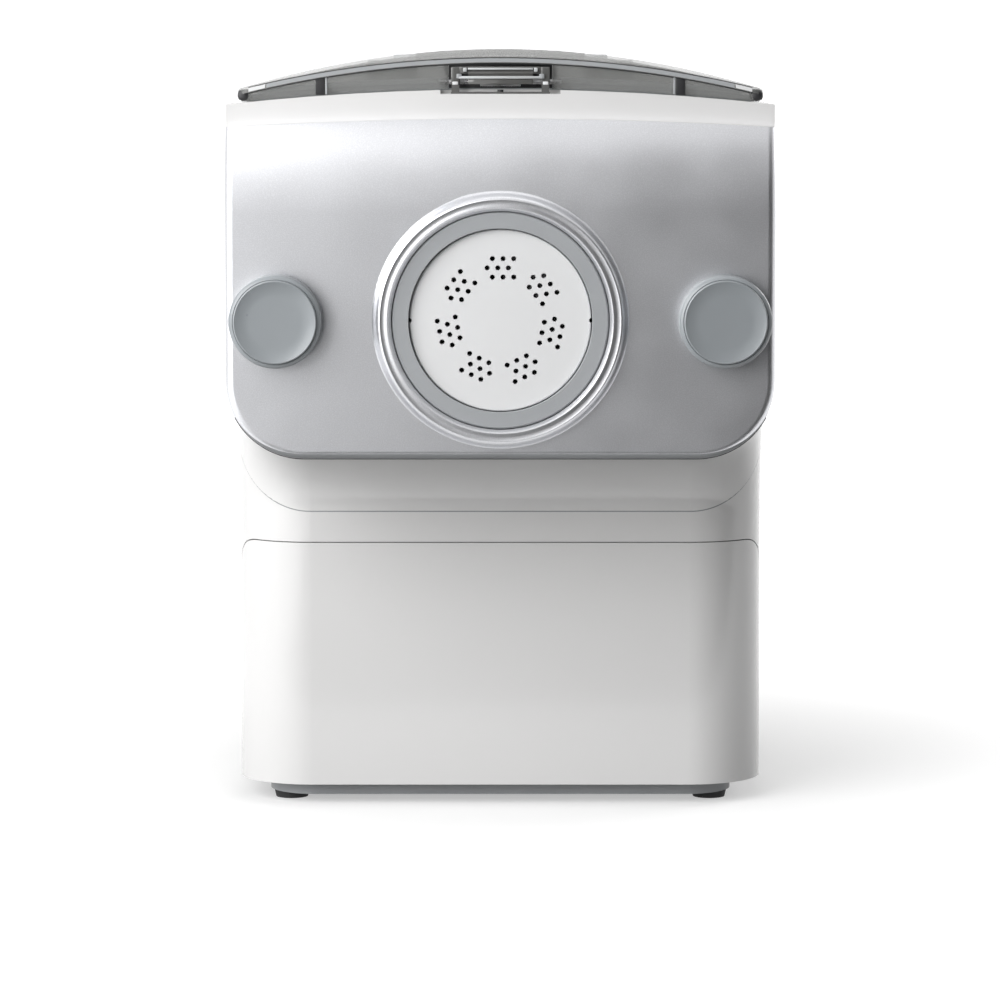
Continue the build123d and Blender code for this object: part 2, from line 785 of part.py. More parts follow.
with BuildPart() as mixing_paddle:
    add(rod(paddle_front_y, paddle_back_y, hub_radius))
    for turn in (90, 210, 330):
        angle = math.radians(turn)
        place = (paddle_radius * math.cos(angle), axis_z + paddle_radius * math.sin(angle))
        add(rod(paddle_front_y + 1, paddle_back_y - 3, paddle_bar, *place))
        for y in (paddle_front_y + 5, paddle_back_y - 8):
            with BuildSketch(Plane(origin=(0, y, axis_z), x_dir=(0, 1, 0),
                                   z_dir=(math.cos(angle), 0, math.sin(angle)))):
                Circle(paddle_arm)
            extrude(amount=paddle_radius)
    with BuildSketch(across(paddle_back_y + 1)):
        with Locations((0, axis_z)):
            RegularPolygon(hex_across / 2 + hex_gap, 6, major_radius=False)
    extrude(amount=paddle_back_y - paddle_front_y + 2, mode=Mode.SUBTRACT)
save(mixing_paddle, "mixing_paddle")

with BuildPart() as front_frame:
    with BuildSketch(across(frame_back_y)):
        with Locations((0, (frame_bottom_z + frame_top_z) / 2)):
            RectangleRounded(2 * frame_half, frame_top_z - frame_bottom_z, 24)
        with Locations((0, axis_z)):
            Circle(tube_outer + running_gap, mode=Mode.SUBTRACT)
        with Locations((-knob_x, axis_z), (knob_x, axis_z)):
            Rectangle(2 * (cam_half_width + 1), 2 * (cam_half_length + 0.8), mode=Mode.SUBTRACT)
    extrude(amount=frame_back_y - frame_front_y)
save(front_frame, "front_frame")


# ---- front panel, its ring and disc, and the clamp knobs ----
panel_back_y = housing_front_y - touch_gap
panel_hole = 43.0
liner_front_y = -149.0
liner_gap = 0.1
boss_inner = ring_radius + touch_gap
tube_clearance = 0.5
seal_ring_outer = 33.5
cluster_radius = 20.5
cluster_count = 7
hole_spacing = 3.6
shaft_hole = knob_shaft + touch_gap


def panel_form(inset):
    """Front panel as a block: flat face, top curving back, rounded lower corners."""
    half = half_width - inset
    front = panel_front_y + inset
    with BuildPart() as form:
        with BuildSketch(Plane.YZ):
            with BuildLine():
                Polyline((panel_back_y, panel_crest_z), (panel_back_y, neck_z + inset),
                         (front, neck_z + inset), (front, panel_bend_z))
                TangentArc((front, panel_bend_z), (panel_top_y + inset, panel_crest_z),
                           tangent=(0, 1))
                Line((panel_top_y + inset, panel_crest_z), (panel_back_y, panel_crest_z))
            make_face()
        extrude(amount=half, both=True)
        lower_edges = form.edges().filter_by(Axis.Y).filter_by(
            lambda e: e.center().Z < neck_z + inset + 0.01
        )
        fillet(lower_edges, panel_corner - inset)
        face_edges = form.edges().filter_by(
            lambda e: e.center().Y < front + 5
            and not (abs(e.center().X) < 1 and e.center().Z > neck_z + inset + 1)
        )
        fillet(face_edges, panel_edge - inset)
        add(crowned_block(half_width, 100, panel_crest_z - inset, panel_radius, front - 5,
                          panel_back_y), mode=Mode.INTERSECT)
    return form.part


with BuildPart() as front_panel:
    add(panel_form(0))
    add(panel_form(panel_skin), mode=Mode.SUBTRACT)
    with BuildSketch(Plane.XY.offset(axis_z)):
        with BuildLine():
            Polyline((bezel_outer, panel_front_y), (bezel_outer, panel_front_y + 1),
                     (panel_hole, panel_front_y + 1), (panel_hole, panel_front_y),
                     (bezel_inner, panel_front_y))
            ThreePointArc((bezel_inner, panel_front_y),
                          ((bezel_inner + bezel_outer) / 2, bezel_crest_y),
                          (bezel_outer, panel_front_y))
        make_face()
    revolve(axis=Axis((0, 0, axis_z), (0, 1, 0)))
    add(rod(panel_front_y - 10, panel_back_y, panel_hole), mode=Mode.SUBTRACT)
    for side in (-1, 1):
        add(rod(panel_front_y - 1, panel_back_y, shaft_hole, side * knob_x), mode=Mode.SUBTRACT)
save(front_panel, "front_panel")

with BuildPart() as panel_liner:
    add(panel_form(panel_skin + liner_gap))
    add(box_between((-half_width, liner_front_y, 100), (half_width, panel_back_y, 300)),
        mode=Mode.INTERSECT)
    boss_front_y = panel_front_y + panel_skin + liner_gap
    add(ring(boss_front_y, liner_front_y + 1, boss_inner + 4, boss_inner))
    for side in (-1, 1):
        add(rod(boss_front_y, liner_front_y + 1, shaft_hole + 4, side * knob_x))
        add(rod(boss_front_y - 1, panel_back_y + 1, shaft_hole, side * knob_x), mode=Mode.SUBTRACT)
    add(rod(boss_front_y - 1, liner_front_y, boss_inner), mode=Mode.SUBTRACT)
    add(rod(boss_front_y - 1, panel_back_y + 1, tube_outer + tube_clearance), mode=Mode.SUBTRACT)
    add(rod(liner_front_y + 0.6, liner_front_y + 2.6, seal_ring_outer + 0.1), mode=Mode.SUBTRACT)
save(panel_liner, "panel_liner")

with BuildPart() as panel_seal:
    add(ring(liner_front_y + 0.7, liner_front_y + 2.5, seal_ring_outer, tube_outer + touch_gap))
save(panel_seal, "panel_seal")

with BuildPart() as die_ring:
    add(ring(ring_face_y, ring_lip_y, ring_radius, disc_radius + part_gap))
    add(ring(ring_lip_y, liner_front_y - touch_gap, ring_radius, disc_flange + touch_gap))
    chamfer(die_ring.edges().group_by(Axis.Y)[0], 1.0)
save(die_ring, "die_ring")

with BuildPart() as shaping_disc:
    add(rod(disc_face_y, ring_lip_y + touch_gap, disc_radius))
    add(rod(ring_lip_y + touch_gap, disc_back_y, disc_flange))
    fillet(shaping_disc.edges().group_by(Axis.Y)[0], 0.6)
    with BuildSketch(across(disc_back_y + 1)):
        with Locations((0, axis_z)):
            with PolarLocations(cluster_radius, cluster_count, start_angle=90):
                with HexLocations(hole_spacing / math.sqrt(3), 3, 3):
                    Circle(disc_hole)
        with Locations((-disc_radius, axis_z), (disc_radius, axis_z)):
            Circle(0.9)
    extrude(amount=disc_back_y - disc_face_y + 2, mode=Mode.SUBTRACT)
save(shaping_disc, "shaping_disc")


def knob(side):
    """Clamp knob with its shaft."""
    x = side * knob_x
    collar_y = frame_back_y + 0.5
    with BuildPart() as item:
        add(rod(knob_face_y, panel_front_y - 0.5, knob_radius, x))
        fillet(item.edges().group_by(Axis.Y)[0], knob_edge)
        fillet(item.edges().group_by(Axis.Y)[-1], 0.8)
        add(rod(panel_front_y - 0.5, collar_y, knob_shaft, x))
        add(rod(collar_y, collar_y + cam_thickness, 3.0, x))
    return item


def clamp_cam(side):
    """Bar behind the frame that turns across its slot and holds the panel."""
    x = side * knob_x
    y = frame_back_y + 0.5 + cam_thickness
    with BuildPart() as item:
        with BuildSketch(across(y)):
            with Locations((x, axis_z)):
                SlotOverall(2 * cam_half_length, 2 * cam_half_width, rotation=90)
                Circle(3.0 + running_gap, mode=Mode.SUBTRACT)
        extrude(amount=cam_thickness)
    return item


for side, name in ((-1, "left"), (1, "right")):
    save(knob(side), f"{name}_knob")
    save(clamp_cam(side), f"{name}_clamp_cam")


# ---- lid, its hinge and its latch ----
lid_back_y = channel_front_y
lid_radius = deck_radius
lid_corner = 5.0
knuckle_half = 3.0
knuckle_xs = [side * (ear_x + off * (ear_half + touch_gap + knuckle_half))
              for side in (-1, 1) for off in (-1, 1)]
web_half = 3.0
grate_half = 34.0
grate_front_y = -92.0
grate_back_y = -64.0
grate_slots = 7
grate_pitch = 8.0
latch_y = -138.5
latch_z = 295.7
latch_pin_radius = 1.0
latch_bar_half = 12.7
latch_bar_front_y = -143.2
latch_bar_back_y = -140.4
latch_bar_low_z = 296.6
latch_bar_high_z = 301.6
arm_inner = 15.8
arm_outer = 19.4
barrel_radius = 1.6
boss_outer = 24.0
nose_z = 294.6
plunger_top_z = 292.6
spring_half = 8.0
spring_wire = 0.35

with BuildPart() as lid_cover:
    add(crowned_block(lid_half, 200, lid_crest_z, lid_radius, lid_front_y, lid_back_y))
    fillet(lid_cover.edges().filter_by(Axis.Z), lid_corner)
    add(crowned_block(half_width + 5, 0, rim_crest_z + touch_gap, rim_radius, lid_front_y - 5,
                      lid_back_y + 5), mode=Mode.SUBTRACT)
    roof = crowned_block(lid_half - lid_wall, 200, lid_crest_z - lid_wall, lid_radius - lid_wall,
                         lid_front_y + lid_wall, lid_back_y - lid_wall)
    add(roof, mode=Mode.SUBTRACT)
    add(box_between((-lid_window, lid_front_y - 1, 280),
                    (lid_window, lid_front_y + lid_wall + 0.5, lid_window_z)), mode=Mode.SUBTRACT)
    # bosses for the latch pin
    for side in (-1, 1):
        low, high = sorted((side * (lid_window + 0.3), side * boss_outer))
        add(box_between((low, lid_front_y + lid_wall - 0.5, latch_z - 1.7),
                        (high, latch_y + 1.7, latch_z + 1.9)))
    with BuildSketch(Plane.YZ.offset(-boss_outer - 1)):
        with Locations((latch_y, latch_z)):
            Circle(latch_pin_radius + running_gap)
    extrude(amount=2 * boss_outer + 2, mode=Mode.SUBTRACT)
    # hinge knuckles
    for x in knuckle_xs:
        with BuildSketch(Plane.YZ.offset(x - knuckle_half)):
            with Locations((hinge_y, hinge_z)):
                Circle(knuckle_radius)
            with Locations(((hinge_y + lid_back_y - 1) / 2, hinge_z)):
                Rectangle(hinge_y - lid_back_y + 1, 2 * web_half)
        extrude(amount=2 * knuckle_half)
        with BuildSketch(Plane.YZ.offset(x - knuckle_half - 1)):
            with Locations((hinge_y, hinge_z)):
                Circle(hinge_pin + running_gap)
        extrude(amount=2 * knuckle_half + 2, mode=Mode.SUBTRACT)
    # opening for the pouring grate
    add(box_between((-grate_half, grate_front_y, 295), (grate_half, grate_back_y, 320)),
        mode=Mode.SUBTRACT)
save(lid_cover, "lid_cover")

with BuildPart() as pouring_grate:
    add(crowned_block(grate_half - 0.1, 200, lid_crest_z, lid_radius, grate_front_y + 0.1,
                      grate_back_y - 0.1))
    add(crowned_block(half_width, 0, lid_crest_z - lid_wall, lid_radius - lid_wall,
                      grate_front_y - 5, grate_back_y + 5), mode=Mode.SUBTRACT)
    with BuildSketch(Plane.XY.offset(280)):
        with Locations((0, (grate_front_y + grate_back_y) / 2)):
            with GridLocations(grate_pitch, 1, grate_slots, 1):
                SlotOverall(grate_back_y - grate_front_y - 8, 4.0, rotation=90)
    extrude(amount=60, mode=Mode.SUBTRACT)
save(pouring_grate, "pouring_grate")

with BuildPart() as hinge_pins:
    for side in (-1, 1):
        with BuildSketch(Plane.YZ.offset(side * ear_x - ear_half - 2 * knuckle_half - 1)):
            with Locations((hinge_y, hinge_z)):
                Circle(hinge_pin)
        extrude(amount=2 * (ear_half + 2 * knuckle_half + 1))
save(hinge_pins, "hinge_pins")

with BuildPart() as lid_latch:
    add(box_between((-latch_bar_half, latch_bar_front_y, latch_bar_low_z),
                    (latch_bar_half, latch_bar_back_y, latch_bar_high_z)))
    add(box_between((-arm_inner - 1, latch_bar_front_y, latch_bar_high_z - 3),
                    (arm_inner + 1, latch_bar_back_y, latch_bar_high_z)))
    add(box_between((-3, latch_bar_front_y + 1, nose_z), (3, latch_bar_back_y, latch_bar_low_z + 1)))
    for x in (-arm_outer, arm_inner):
        with BuildSketch(Plane.YZ.offset(x)):
            with Locations((latch_y, latch_z)):
                Circle(barrel_radius)
            with BuildLine():
                Polyline((latch_y, latch_z + barrel_radius - 0.1),
                         (latch_bar_back_y, latch_bar_high_z), (latch_bar_front_y, latch_bar_high_z),
                         (latch_bar_front_y, latch_bar_high_z - 3),
                         (latch_y - barrel_radius + 0.1, latch_z),
                         (latch_y, latch_z + barrel_radius - 0.1))
            make_face()
            with Locations((latch_y, latch_z)):
                Circle(latch_pin_radius + running_gap, mode=Mode.SUBTRACT)
        extrude(amount=arm_outer - arm_inner)
save(lid_latch, "lid_latch")

with BuildPart() as latch_pin:
    with BuildSketch(Plane.YZ.offset(-boss_outer)):
        with Locations((latch_y, latch_z)):
            Circle(latch_pin_radius)
    extrude(amount=2 * boss_outer)
save(latch_pin, "latch_pin")

with BuildPart() as latch_spring:
    with BuildSketch(Plane.XY.offset(latch_z)):
        turns = int(2 * spring_half / (1.9 * spring_wire))
        with Locations((0, latch_y + latch_pin_radius + 0.5)):
            with GridLocations(1.9 * spring_wire, 1, turns, 1):
                Circle(spring_wire)
    revolve(axis=Axis((0, latch_y, latch_z), (1, 0, 0)))
save(latch_spring, "latch_spring")

with BuildPart() as lid_catch:
    add(box_between((-arm_outer, -145.0, notch_z), (arm_outer, -142.8, notch_z + 0.8)))
    for side in (-1, 1):
        low, high = sorted((side * (arm_inner + 0.3), side * (arm_outer - 0.3)))
        add(box_between((low, -144.2, notch_z), (high, -141.6, notch_z + 3.6)))
save(lid_catch, "lid_catch")

with BuildPart() as lid_switch:
    add(box_between((-9, frame_front_y, frame_top_z + 2),
                    (9, frame_front_y + 5.4, rim_crest_z - rim_slab - 0.3)))
    with BuildSketch(Plane.XY.offset(frame_top_z + 8)):
        with Locations((0, plunger_y)):
            Circle(plunger_radius)
    extrude(amount=plunger_top_z - frame_top_z - 8)
save(lid_switch, "lid_switch")


# ---- drawer ----
tray_half = 80.0
tray_back_y = -5.0
tray_bottom_z = 12.0
tray_top_z = 100.0
tray_wall = 2.0
tray_corner = 4.0
rail_z = 32.0
rail_height = 6.0
rail_front_y = -58.0
rail_back_y = -8.0
tray_flange = 8.0
spare_height = 8.0

with BuildPart() as drawer_front:
    add(outer_form)
    add(inner_form, mode=Mode.SUBTRACT)
    add(drawer_zone(part_gap), mode=Mode.INTERSECT)
save(drawer_front, "drawer_front")

with BuildPart() as drawer_tray:
    tray_front_y = lower_front_y + wall
    add(box_between((-tray_half, tray_front_y, tray_bottom_z), (tray_half, tray_back_y, tray_top_z)))
    fillet(drawer_tray.edges().filter_by(Axis.Z), tray_corner)
    add(box_between((-tray_half + tray_wall, tray_front_y + tray_wall, tray_bottom_z + tray_wall),
                    (tray_half - tray_wall, tray_back_y - tray_wall, tray_top_z + 1)),
        mode=Mode.SUBTRACT)
    for side in (-1, 1):
        low, high = sorted((side * (tray_half - 0.5), side * (tray_half + tray_flange)))
        add(box_between((low, rail_front_y - 4, rail_z + rail_height + touch_gap),
                        (high, tray_back_y, rail_z + rail_height + touch_gap + 2)))
save(drawer_tray, "drawer_tray")

with BuildPart() as drawer_rails:
    for side in (-1, 1):
        low, high = sorted((side * (tray_half + touch_gap), side * (half_width - wall)))
        add(box_between((low, rail_front_y, rail_z), (high, rail_back_y, rail_z + rail_height)))
save(drawer_rails, "drawer_rails")


def spare_disc(x, y):
    """Blank shaping disc lying on the tray floor."""
    floor_z = tray_bottom_z + tray_wall
    with BuildPart() as item:
        with BuildSketch(Plane.XY.offset(floor_z)):
            with Locations((x, y)):
                Circle(disc_flange)
        extrude(amount=spare_height / 2)
        with BuildSketch(Plane.XY.offset(floor_z + spare_height / 2)):
            with Locations((x, y)):
                Circle(disc_radius)
        extrude(amount=spare_height / 2)
    return item


spare_x = 39.0
spare_y = -47.0
with BuildPart() as spare_discs:
    add(spare_disc(-spare_x, spare_y).part)
    add(spare_disc(spare_x, spare_y).part)
    with BuildSketch(Plane.XY):
        with Locations((-spare_x, spare_y)):
            with PolarLocations(20, 10):
                SlotOverall(9, 2.2)
    extrude(amount=40, mode=Mode.SUBTRACT)
    with BuildSketch(Plane.XY):
        with Locations((spare_x, spare_y)):
            with PolarLocations(18, 6):
                Circle(5.0)
                Circle(3.4, mode=Mode.SUBTRACT)
                Rectangle(10, 1.6, mode=Mode.SUBTRACT)
    extrude(amount=40, mode=Mode.SUBTRACT)
save(spare_discs, "spare_discs")


# ---- controls, boards and power inlet ----
button_radius = 6.7
button_row_y = 52.0
button_xs = {"power": -40.0, "mode": -20.0, "start": 0.0, "minus": 20.0, "plus": 40.0}
button_rise = 0.8
button_travel = 1.2
button_depth = 4.0
button_stem = 2.5
collar_radius = 8.2
collar_height = 1.0
window_half = 27.0
window_front_y = 62.0
window_back_y = 80.0
board_z = 290.0
board_thickness = 1.6
board_half = 60.0
post_radius = 2.5
post_inset = 3.0
switch_height = 4.0
switch_size = 6.0
display_height = 6.0
inlet_wall = 2.0
inlet_floor = 6.0
inlet_flange = 4.0

with BuildPart() as control_fascia:
    with BuildSketch(Plane.XY.offset(280)):
        with Locations((0, (fascia_front_y + fascia_back_y) / 2)):
            RectangleRounded(2 * fascia_half, fascia_back_y - fascia_front_y, 6)
        with Locations([(x, button_row_y) for x in button_xs.values()]):
            Circle(button_radius + touch_gap, mode=Mode.SUBTRACT)
        with Locations((0, (window_front_y + window_back_y) / 2)):
            RectangleRounded(2 * window_half, window_back_y - window_front_y, 2, mode=Mode.SUBTRACT)
    extrude(amount=40)
    add(crowned_block(half_width, 100, deck_crest_z, deck_radius, deck_front_y, rear_parting_y),
        mode=Mode.INTERSECT)
    add(crowned_block(half_width, 0, deck_crest_z - fascia_thickness + running_gap,
                      deck_radius - fascia_thickness, deck_front_y, rear_parting_y),
        mode=Mode.SUBTRACT)
save(control_fascia, "control_fascia")

with BuildPart() as display_window:
    with BuildSketch(Plane.XY.offset(280)):
        with Locations((0, (window_front_y + window_back_y) / 2)):
            RectangleRounded(2 * window_half - 0.2, window_back_y - window_front_y - 0.2, 1.9)
    extrude(amount=40)
    add(crowned_block(half_width, 100, deck_crest_z - 0.1, deck_radius, deck_front_y,
                      rear_parting_y), mode=Mode.INTERSECT)
    add(crowned_block(half_width, 0, deck_crest_z - fascia_thickness, deck_radius,
                      deck_front_y, rear_parting_y), mode=Mode.SUBTRACT)
save(display_window, "display_window")

for name, x in button_xs.items():
    cap_z = crown_z(x, deck_crest_z, deck_radius) + button_rise
    with BuildPart() as button:
        with BuildSketch(Plane.XY.offset(cap_z - button_depth)):
            with Locations((x, button_row_y)):
                Circle(button_radius)
        extrude(amount=button_depth)
        fillet(button.edges().group_by(Axis.Z)[-1], 0.6)
        with BuildSketch(Plane.XY.offset(cap_z - button_depth - collar_height)):
            with Locations((x, button_row_y)):
                Circle(collar_radius)
        extrude(amount=collar_height)
        with BuildSketch(Plane.XY.offset(board_z + board_thickness + switch_height + touch_gap
                                         + button_travel)):
            with Locations((x, button_row_y)):
                Circle(button_stem)
        extrude(until=Until.NEXT)
    save(button, f"{name}_button")

with BuildPart() as display_board:
    with BuildSketch(Plane.XY.offset(board_z)):
        with Locations((0, (fascia_front_y + fascia_back_y) / 2)):
            RectangleRounded(2 * board_half, fascia_back_y - fascia_front_y, 3)
    extrude(amount=board_thickness)
    for x in button_xs.values():
        with BuildSketch(Plane.XY.offset(board_z + board_thickness)):
            with Locations((x, button_row_y)):
                Rectangle(switch_size, switch_size)
        extrude(amount=switch_height)
    add(box_between((-window_half, window_front_y, board_z + board_thickness),
                    (window_half, window_back_y, board_z + board_thickness + display_height)))
    with BuildSketch(Plane.XY.offset(board_z)):
        with Locations([(sx * (board_half - post_inset), y) for sx in (-1, 1)
                        for y in (fascia_front_y + post_inset, fascia_back_y - post_inset)]):
            Circle(post_radius)
    extrude(amount=20)
    add(crowned_block(half_width, 100, deck_crest_z - wall - running_gap, deck_radius - wall,
                      deck_front_y, rear_parting_y), mode=Mode.INTERSECT)
save(display_board, "display_board")

with BuildPart() as control_board:
    board_y = motor_front_y + 6
    add(box_between((-55, board_y, 150), (55, board_y + board_thickness, 242)))
    add(box_between((-45, board_y + board_thickness - 0.2, 160), (-5, board_y + 30, 195)))
    add(box_between((10, board_y + board_thickness - 0.2, 165), (40, board_y + 16, 185)))
    add(rod(board_y, board_y + 26, 9, 25, 215))
    for x, z in [(sx * 48, z) for sx in (-1, 1) for z in (156, 236)]:
        add(ring(motor_front_y, board_y + 0.2, 3.5, 1.5, x, z))
save(control_board, "control_board")

with BuildPart() as power_inlet:
    inlet_low = (inlet_x - inlet_width / 2, rear_y - inlet_depth, inlet_z - inlet_height / 2)
    inlet_high = (inlet_x + inlet_width / 2, rear_y, inlet_z + inlet_height / 2)
    add(box_between(inlet_low, inlet_high))
    flange_y = rear_y - wall - running_gap
    add(box_between((inlet_low[0] - inlet_flange, flange_y - inlet_wall, inlet_low[2] - inlet_flange),
                    (inlet_high[0] + inlet_flange, flange_y, inlet_high[2] + inlet_flange)))
    with BuildSketch(across(rear_y)):
        with Locations((inlet_x, inlet_z)):
            RectangleRounded(inlet_width - 2 * inlet_wall, inlet_height - 2 * inlet_wall, 3)
    extrude(amount=inlet_depth - inlet_floor, mode=Mode.SUBTRACT)
save(power_inlet, "power_inlet")

with BuildPart() as inlet_pins:
    for x, z in ((-7, -3), (7, -3), (0, 3)):
        add(box_between((inlet_x + x - 1, rear_y - inlet_depth + inlet_floor, inlet_z + z - 2),
                        (inlet_x + x + 1, rear_y - inlet_floor, inlet_z + z + 2)))
save(inlet_pins, "inlet_pins")
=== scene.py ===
import json
import math
import bmesh
import bpy
import numpy as np
from mathutils.bvhtree import BVHTree
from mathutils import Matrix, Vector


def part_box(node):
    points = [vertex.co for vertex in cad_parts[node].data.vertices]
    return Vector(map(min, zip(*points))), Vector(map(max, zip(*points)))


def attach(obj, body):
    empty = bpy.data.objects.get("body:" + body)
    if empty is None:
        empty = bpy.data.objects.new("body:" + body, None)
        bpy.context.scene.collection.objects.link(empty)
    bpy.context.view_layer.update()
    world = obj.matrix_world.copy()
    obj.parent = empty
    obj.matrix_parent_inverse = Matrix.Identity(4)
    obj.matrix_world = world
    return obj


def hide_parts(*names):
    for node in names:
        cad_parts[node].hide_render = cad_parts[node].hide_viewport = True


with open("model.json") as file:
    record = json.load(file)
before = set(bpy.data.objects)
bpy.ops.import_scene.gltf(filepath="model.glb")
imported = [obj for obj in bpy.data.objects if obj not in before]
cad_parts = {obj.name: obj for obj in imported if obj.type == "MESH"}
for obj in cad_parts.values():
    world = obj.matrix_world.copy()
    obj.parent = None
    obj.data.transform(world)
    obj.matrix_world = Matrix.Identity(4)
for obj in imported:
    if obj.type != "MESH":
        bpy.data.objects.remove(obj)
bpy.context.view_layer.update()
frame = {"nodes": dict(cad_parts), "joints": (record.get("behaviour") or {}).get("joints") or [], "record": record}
nodes = frame["nodes"]
# Places of the hinges' axes.
axes = {joint["name"]: joint["pos_m"] for joint in frame["joints"] if "pos_m" in joint}
print("frame loaded,", len(nodes), "nodes")

sides = ((-1, "Left"), (1, "Right"))
meshing = {
    "merge": 2e-6, "sliver": 1e-6,  # metres
    "sharp": 35.0, "turnedSharp": 30.0, "barSharp": 40.0, "ribbonSharp": 30.0,  # degrees
    "barSteps": 40,
    "barBend": 0.3, "barCorner": 0.98,  # shares of the bar's edge and of its half
    "least": 1e-7, "ribbonSunk": 0.0002,  # metres: the smallest half of a bar's end, and a depth
}


# A mesh from places and four-cornered faces: places that no face uses are dropped,
# doubles are merged and the faces are turned outwards.
def meshPiece(name, places, faces, sharp=meshing["sharp"], outward=True):
    used, back = np.unique(faces, return_inverse=True)
    faces = back.reshape(-1, 4)
    places = np.asarray(places, dtype=np.float32).reshape(-1, 3)[used]
    mesh = bpy.data.meshes.new(name)
    mesh.vertices.add(len(places))
    mesh.vertices.foreach_set("co", places.ravel())
    mesh.loops.add(faces.size)
    mesh.loops.foreach_set("vertex_index", faces.ravel().astype(np.int32))
    mesh.polygons.add(len(faces))
    mesh.polygons.foreach_set("loop_start", np.arange(0, faces.size, 4, dtype=np.int32))
    mesh.update(calc_edges=True)
    work = bmesh.new()
    work.from_mesh(mesh)
    bmesh.ops.remove_doubles(work, verts=work.verts, dist=meshing["merge"])
    bmesh.ops.dissolve_degenerate(work, edges=work.edges, dist=meshing["sliver"])
    if outward:
        bmesh.ops.recalc_face_normals(work, faces=work.faces)
    work.to_mesh(mesh)
    work.free()
    mesh.polygons.foreach_set("use_smooth", np.ones(len(mesh.polygons), dtype=bool))
    mesh.set_sharp_from_angle(angle=math.radians(sharp))
    piece = bpy.data.objects.new(name, mesh)
    bpy.context.scene.collection.objects.link(piece)
    return piece


# Faces of a grid of rows by columns: each joins four neighbours, and wrapped columns
# join the last to the first.
def gridFaces(rows, columns, wrapColumns=False):
    ids = np.arange(rows * columns).reshape(rows, columns)
    if wrapColumns:
        ids = np.hstack([ids, ids[:, :1]])
    return np.stack([ids[:-1, :-1], ids[1:, :-1], ids[1:, 1:], ids[:-1, 1:]], -1)


# Angles of one full turn in even steps, without the last, which is the first again.
def fullTurn(steps):
    return np.linspace(0, 2 * np.pi, steps, endpoint=False)


# Turned piece about a line along Y: each profile point (radius, y) goes round a
# full circle about (x, z).
def turned(name, profile, x, z, steps):
    radius, depth = np.asarray(profile, dtype=float).T[..., None]
    angle = fullTurn(steps)
    places = np.stack([x + radius * np.cos(angle), depth + 0 * angle, z + radius * np.sin(angle)], -1)
    return meshPiece(name, places, gridFaces(len(radius), steps, wrapColumns=True), meshing["turnedSharp"])


# Rounded bar between two corners: a rectangle with rounded corners is carried along the
# longest side, is drawn in by the edge in two steps at each end and shrinks to a flat cap.
def roundedBar(name, low, high, edge):
    low, high = np.array(low, dtype=float), np.array(high, dtype=float)
    along = int(np.argmax(high - low))
    across = [axis for axis in range(3) if axis != along]
    middle, halves = ((low + high) / 2)[across], (high - low)[across] / 2
    start, stop, bend = low[along], high[along], meshing["barBend"] * edge
    stations = np.array([start, start, start + bend, start + edge, stop - edge, stop - bend, stop, stop])
    inset = np.array([1.0, edge, bend, 0.0, 0.0, bend, edge, 1.0])  # one metre shrinks it to a point
    half = np.maximum(halves - inset[:, None], meshing["least"])
    rounding = np.minimum(np.minimum(edge, halves * meshing["barCorner"]), half)
    turn = fullTurn(meshing["barSteps"])
    circle = np.stack([np.cos(turn), np.sin(turn)], -1)
    places = np.empty((len(stations), len(turn), 3))
    places[..., along] = stations[:, None]
    places[..., across] = middle + (np.sign(circle) * (half - rounding)[:, None] + rounding[:, None] * circle)
    return meshPiece(name, places, gridFaces(*places.shape[:2], wrapColumns=True), meshing["barSharp"])


# Bar on one side of the middle: its two distances from the middle, its depth and its height.
def sideBar(name, side, across, depth, height, edge):
    left, right = sorted((side * across[0], side * across[1]))
    return roundedBar(name, (left, depth[0], height[0]), (right, depth[1], height[1]), edge)


# Ribbon: a flat band along a path, with its width across the path, raised by a depth
# on its outer side and sunk a little on its inner side.
def ribbon(name, path, across, outward, width, depth):
    path, across, outward = (np.asarray(part, dtype=float) for part in (path, across, outward))
    half, lift, sunk = across * width / 2, outward * depth, outward * meshing["ribbonSunk"]
    section = np.stack([path - half + lift, path + half + lift, path + half - sunk, path - half - sunk], 1)
    count = len(path)
    faces = gridFaces(count, 4, wrapColumns=True).reshape(-1, 4)
    caps = np.array([[0, 1, 2, 3], [4 * count - 1, 4 * count - 2, 4 * count - 3, 4 * count - 4]])
    return meshPiece(name, section, np.concatenate([faces, caps]), meshing["ribbonSharp"])


# Line across the front with a level middle and an arc up at each side, as x, z and the
# angle that it leans by: sine and cosine of the lean, times the arc's radius.
def upturnedLine(flat, bottom, radius, reach, arcSteps, flatSteps):
    turn = np.radians(np.linspace(0, reach, arcSteps)[1:])
    lean = np.concatenate([-turn[::-1], np.zeros(flatSteps), turn])
    centre = np.concatenate([np.full(len(turn), -flat), np.linspace(-flat, flat, flatSteps),
                             np.full(len(turn), flat)])
    return centre + radius * np.sin(lean), bottom + radius * (1 - np.cos(lean)), lean


# Surface of a node as a tree in which straight lines can be followed to it.
def surfaceTree(name):
    mesh = nodes[name].data
    places = np.empty(3 * len(mesh.vertices))
    mesh.vertices.foreach_get("co", places)
    corners = [tuple(polygon.vertices) for polygon in mesh.polygons]
    return BVHTree.FromPolygons([tuple(place) for place in places.reshape(-1, 3)], corners)


# A node group with the named inputs (kind and value) and outputs (kind).
def newGroup(name, inputs, outputs):
    group = bpy.data.node_groups.new(name, "ShaderNodeTree")
    for label, (kind, value) in inputs.items():
        socket = group.interface.new_socket(label, in_out="INPUT", socket_type=kind)
        if value is not None:
            socket.default_value = value
    for label, kind in outputs.items():
        group.interface.new_socket(label, in_out="OUTPUT", socket_type=kind)
    return group, group.nodes.new("NodeGroupInput").outputs, group.nodes.new("NodeGroupOutput").inputs


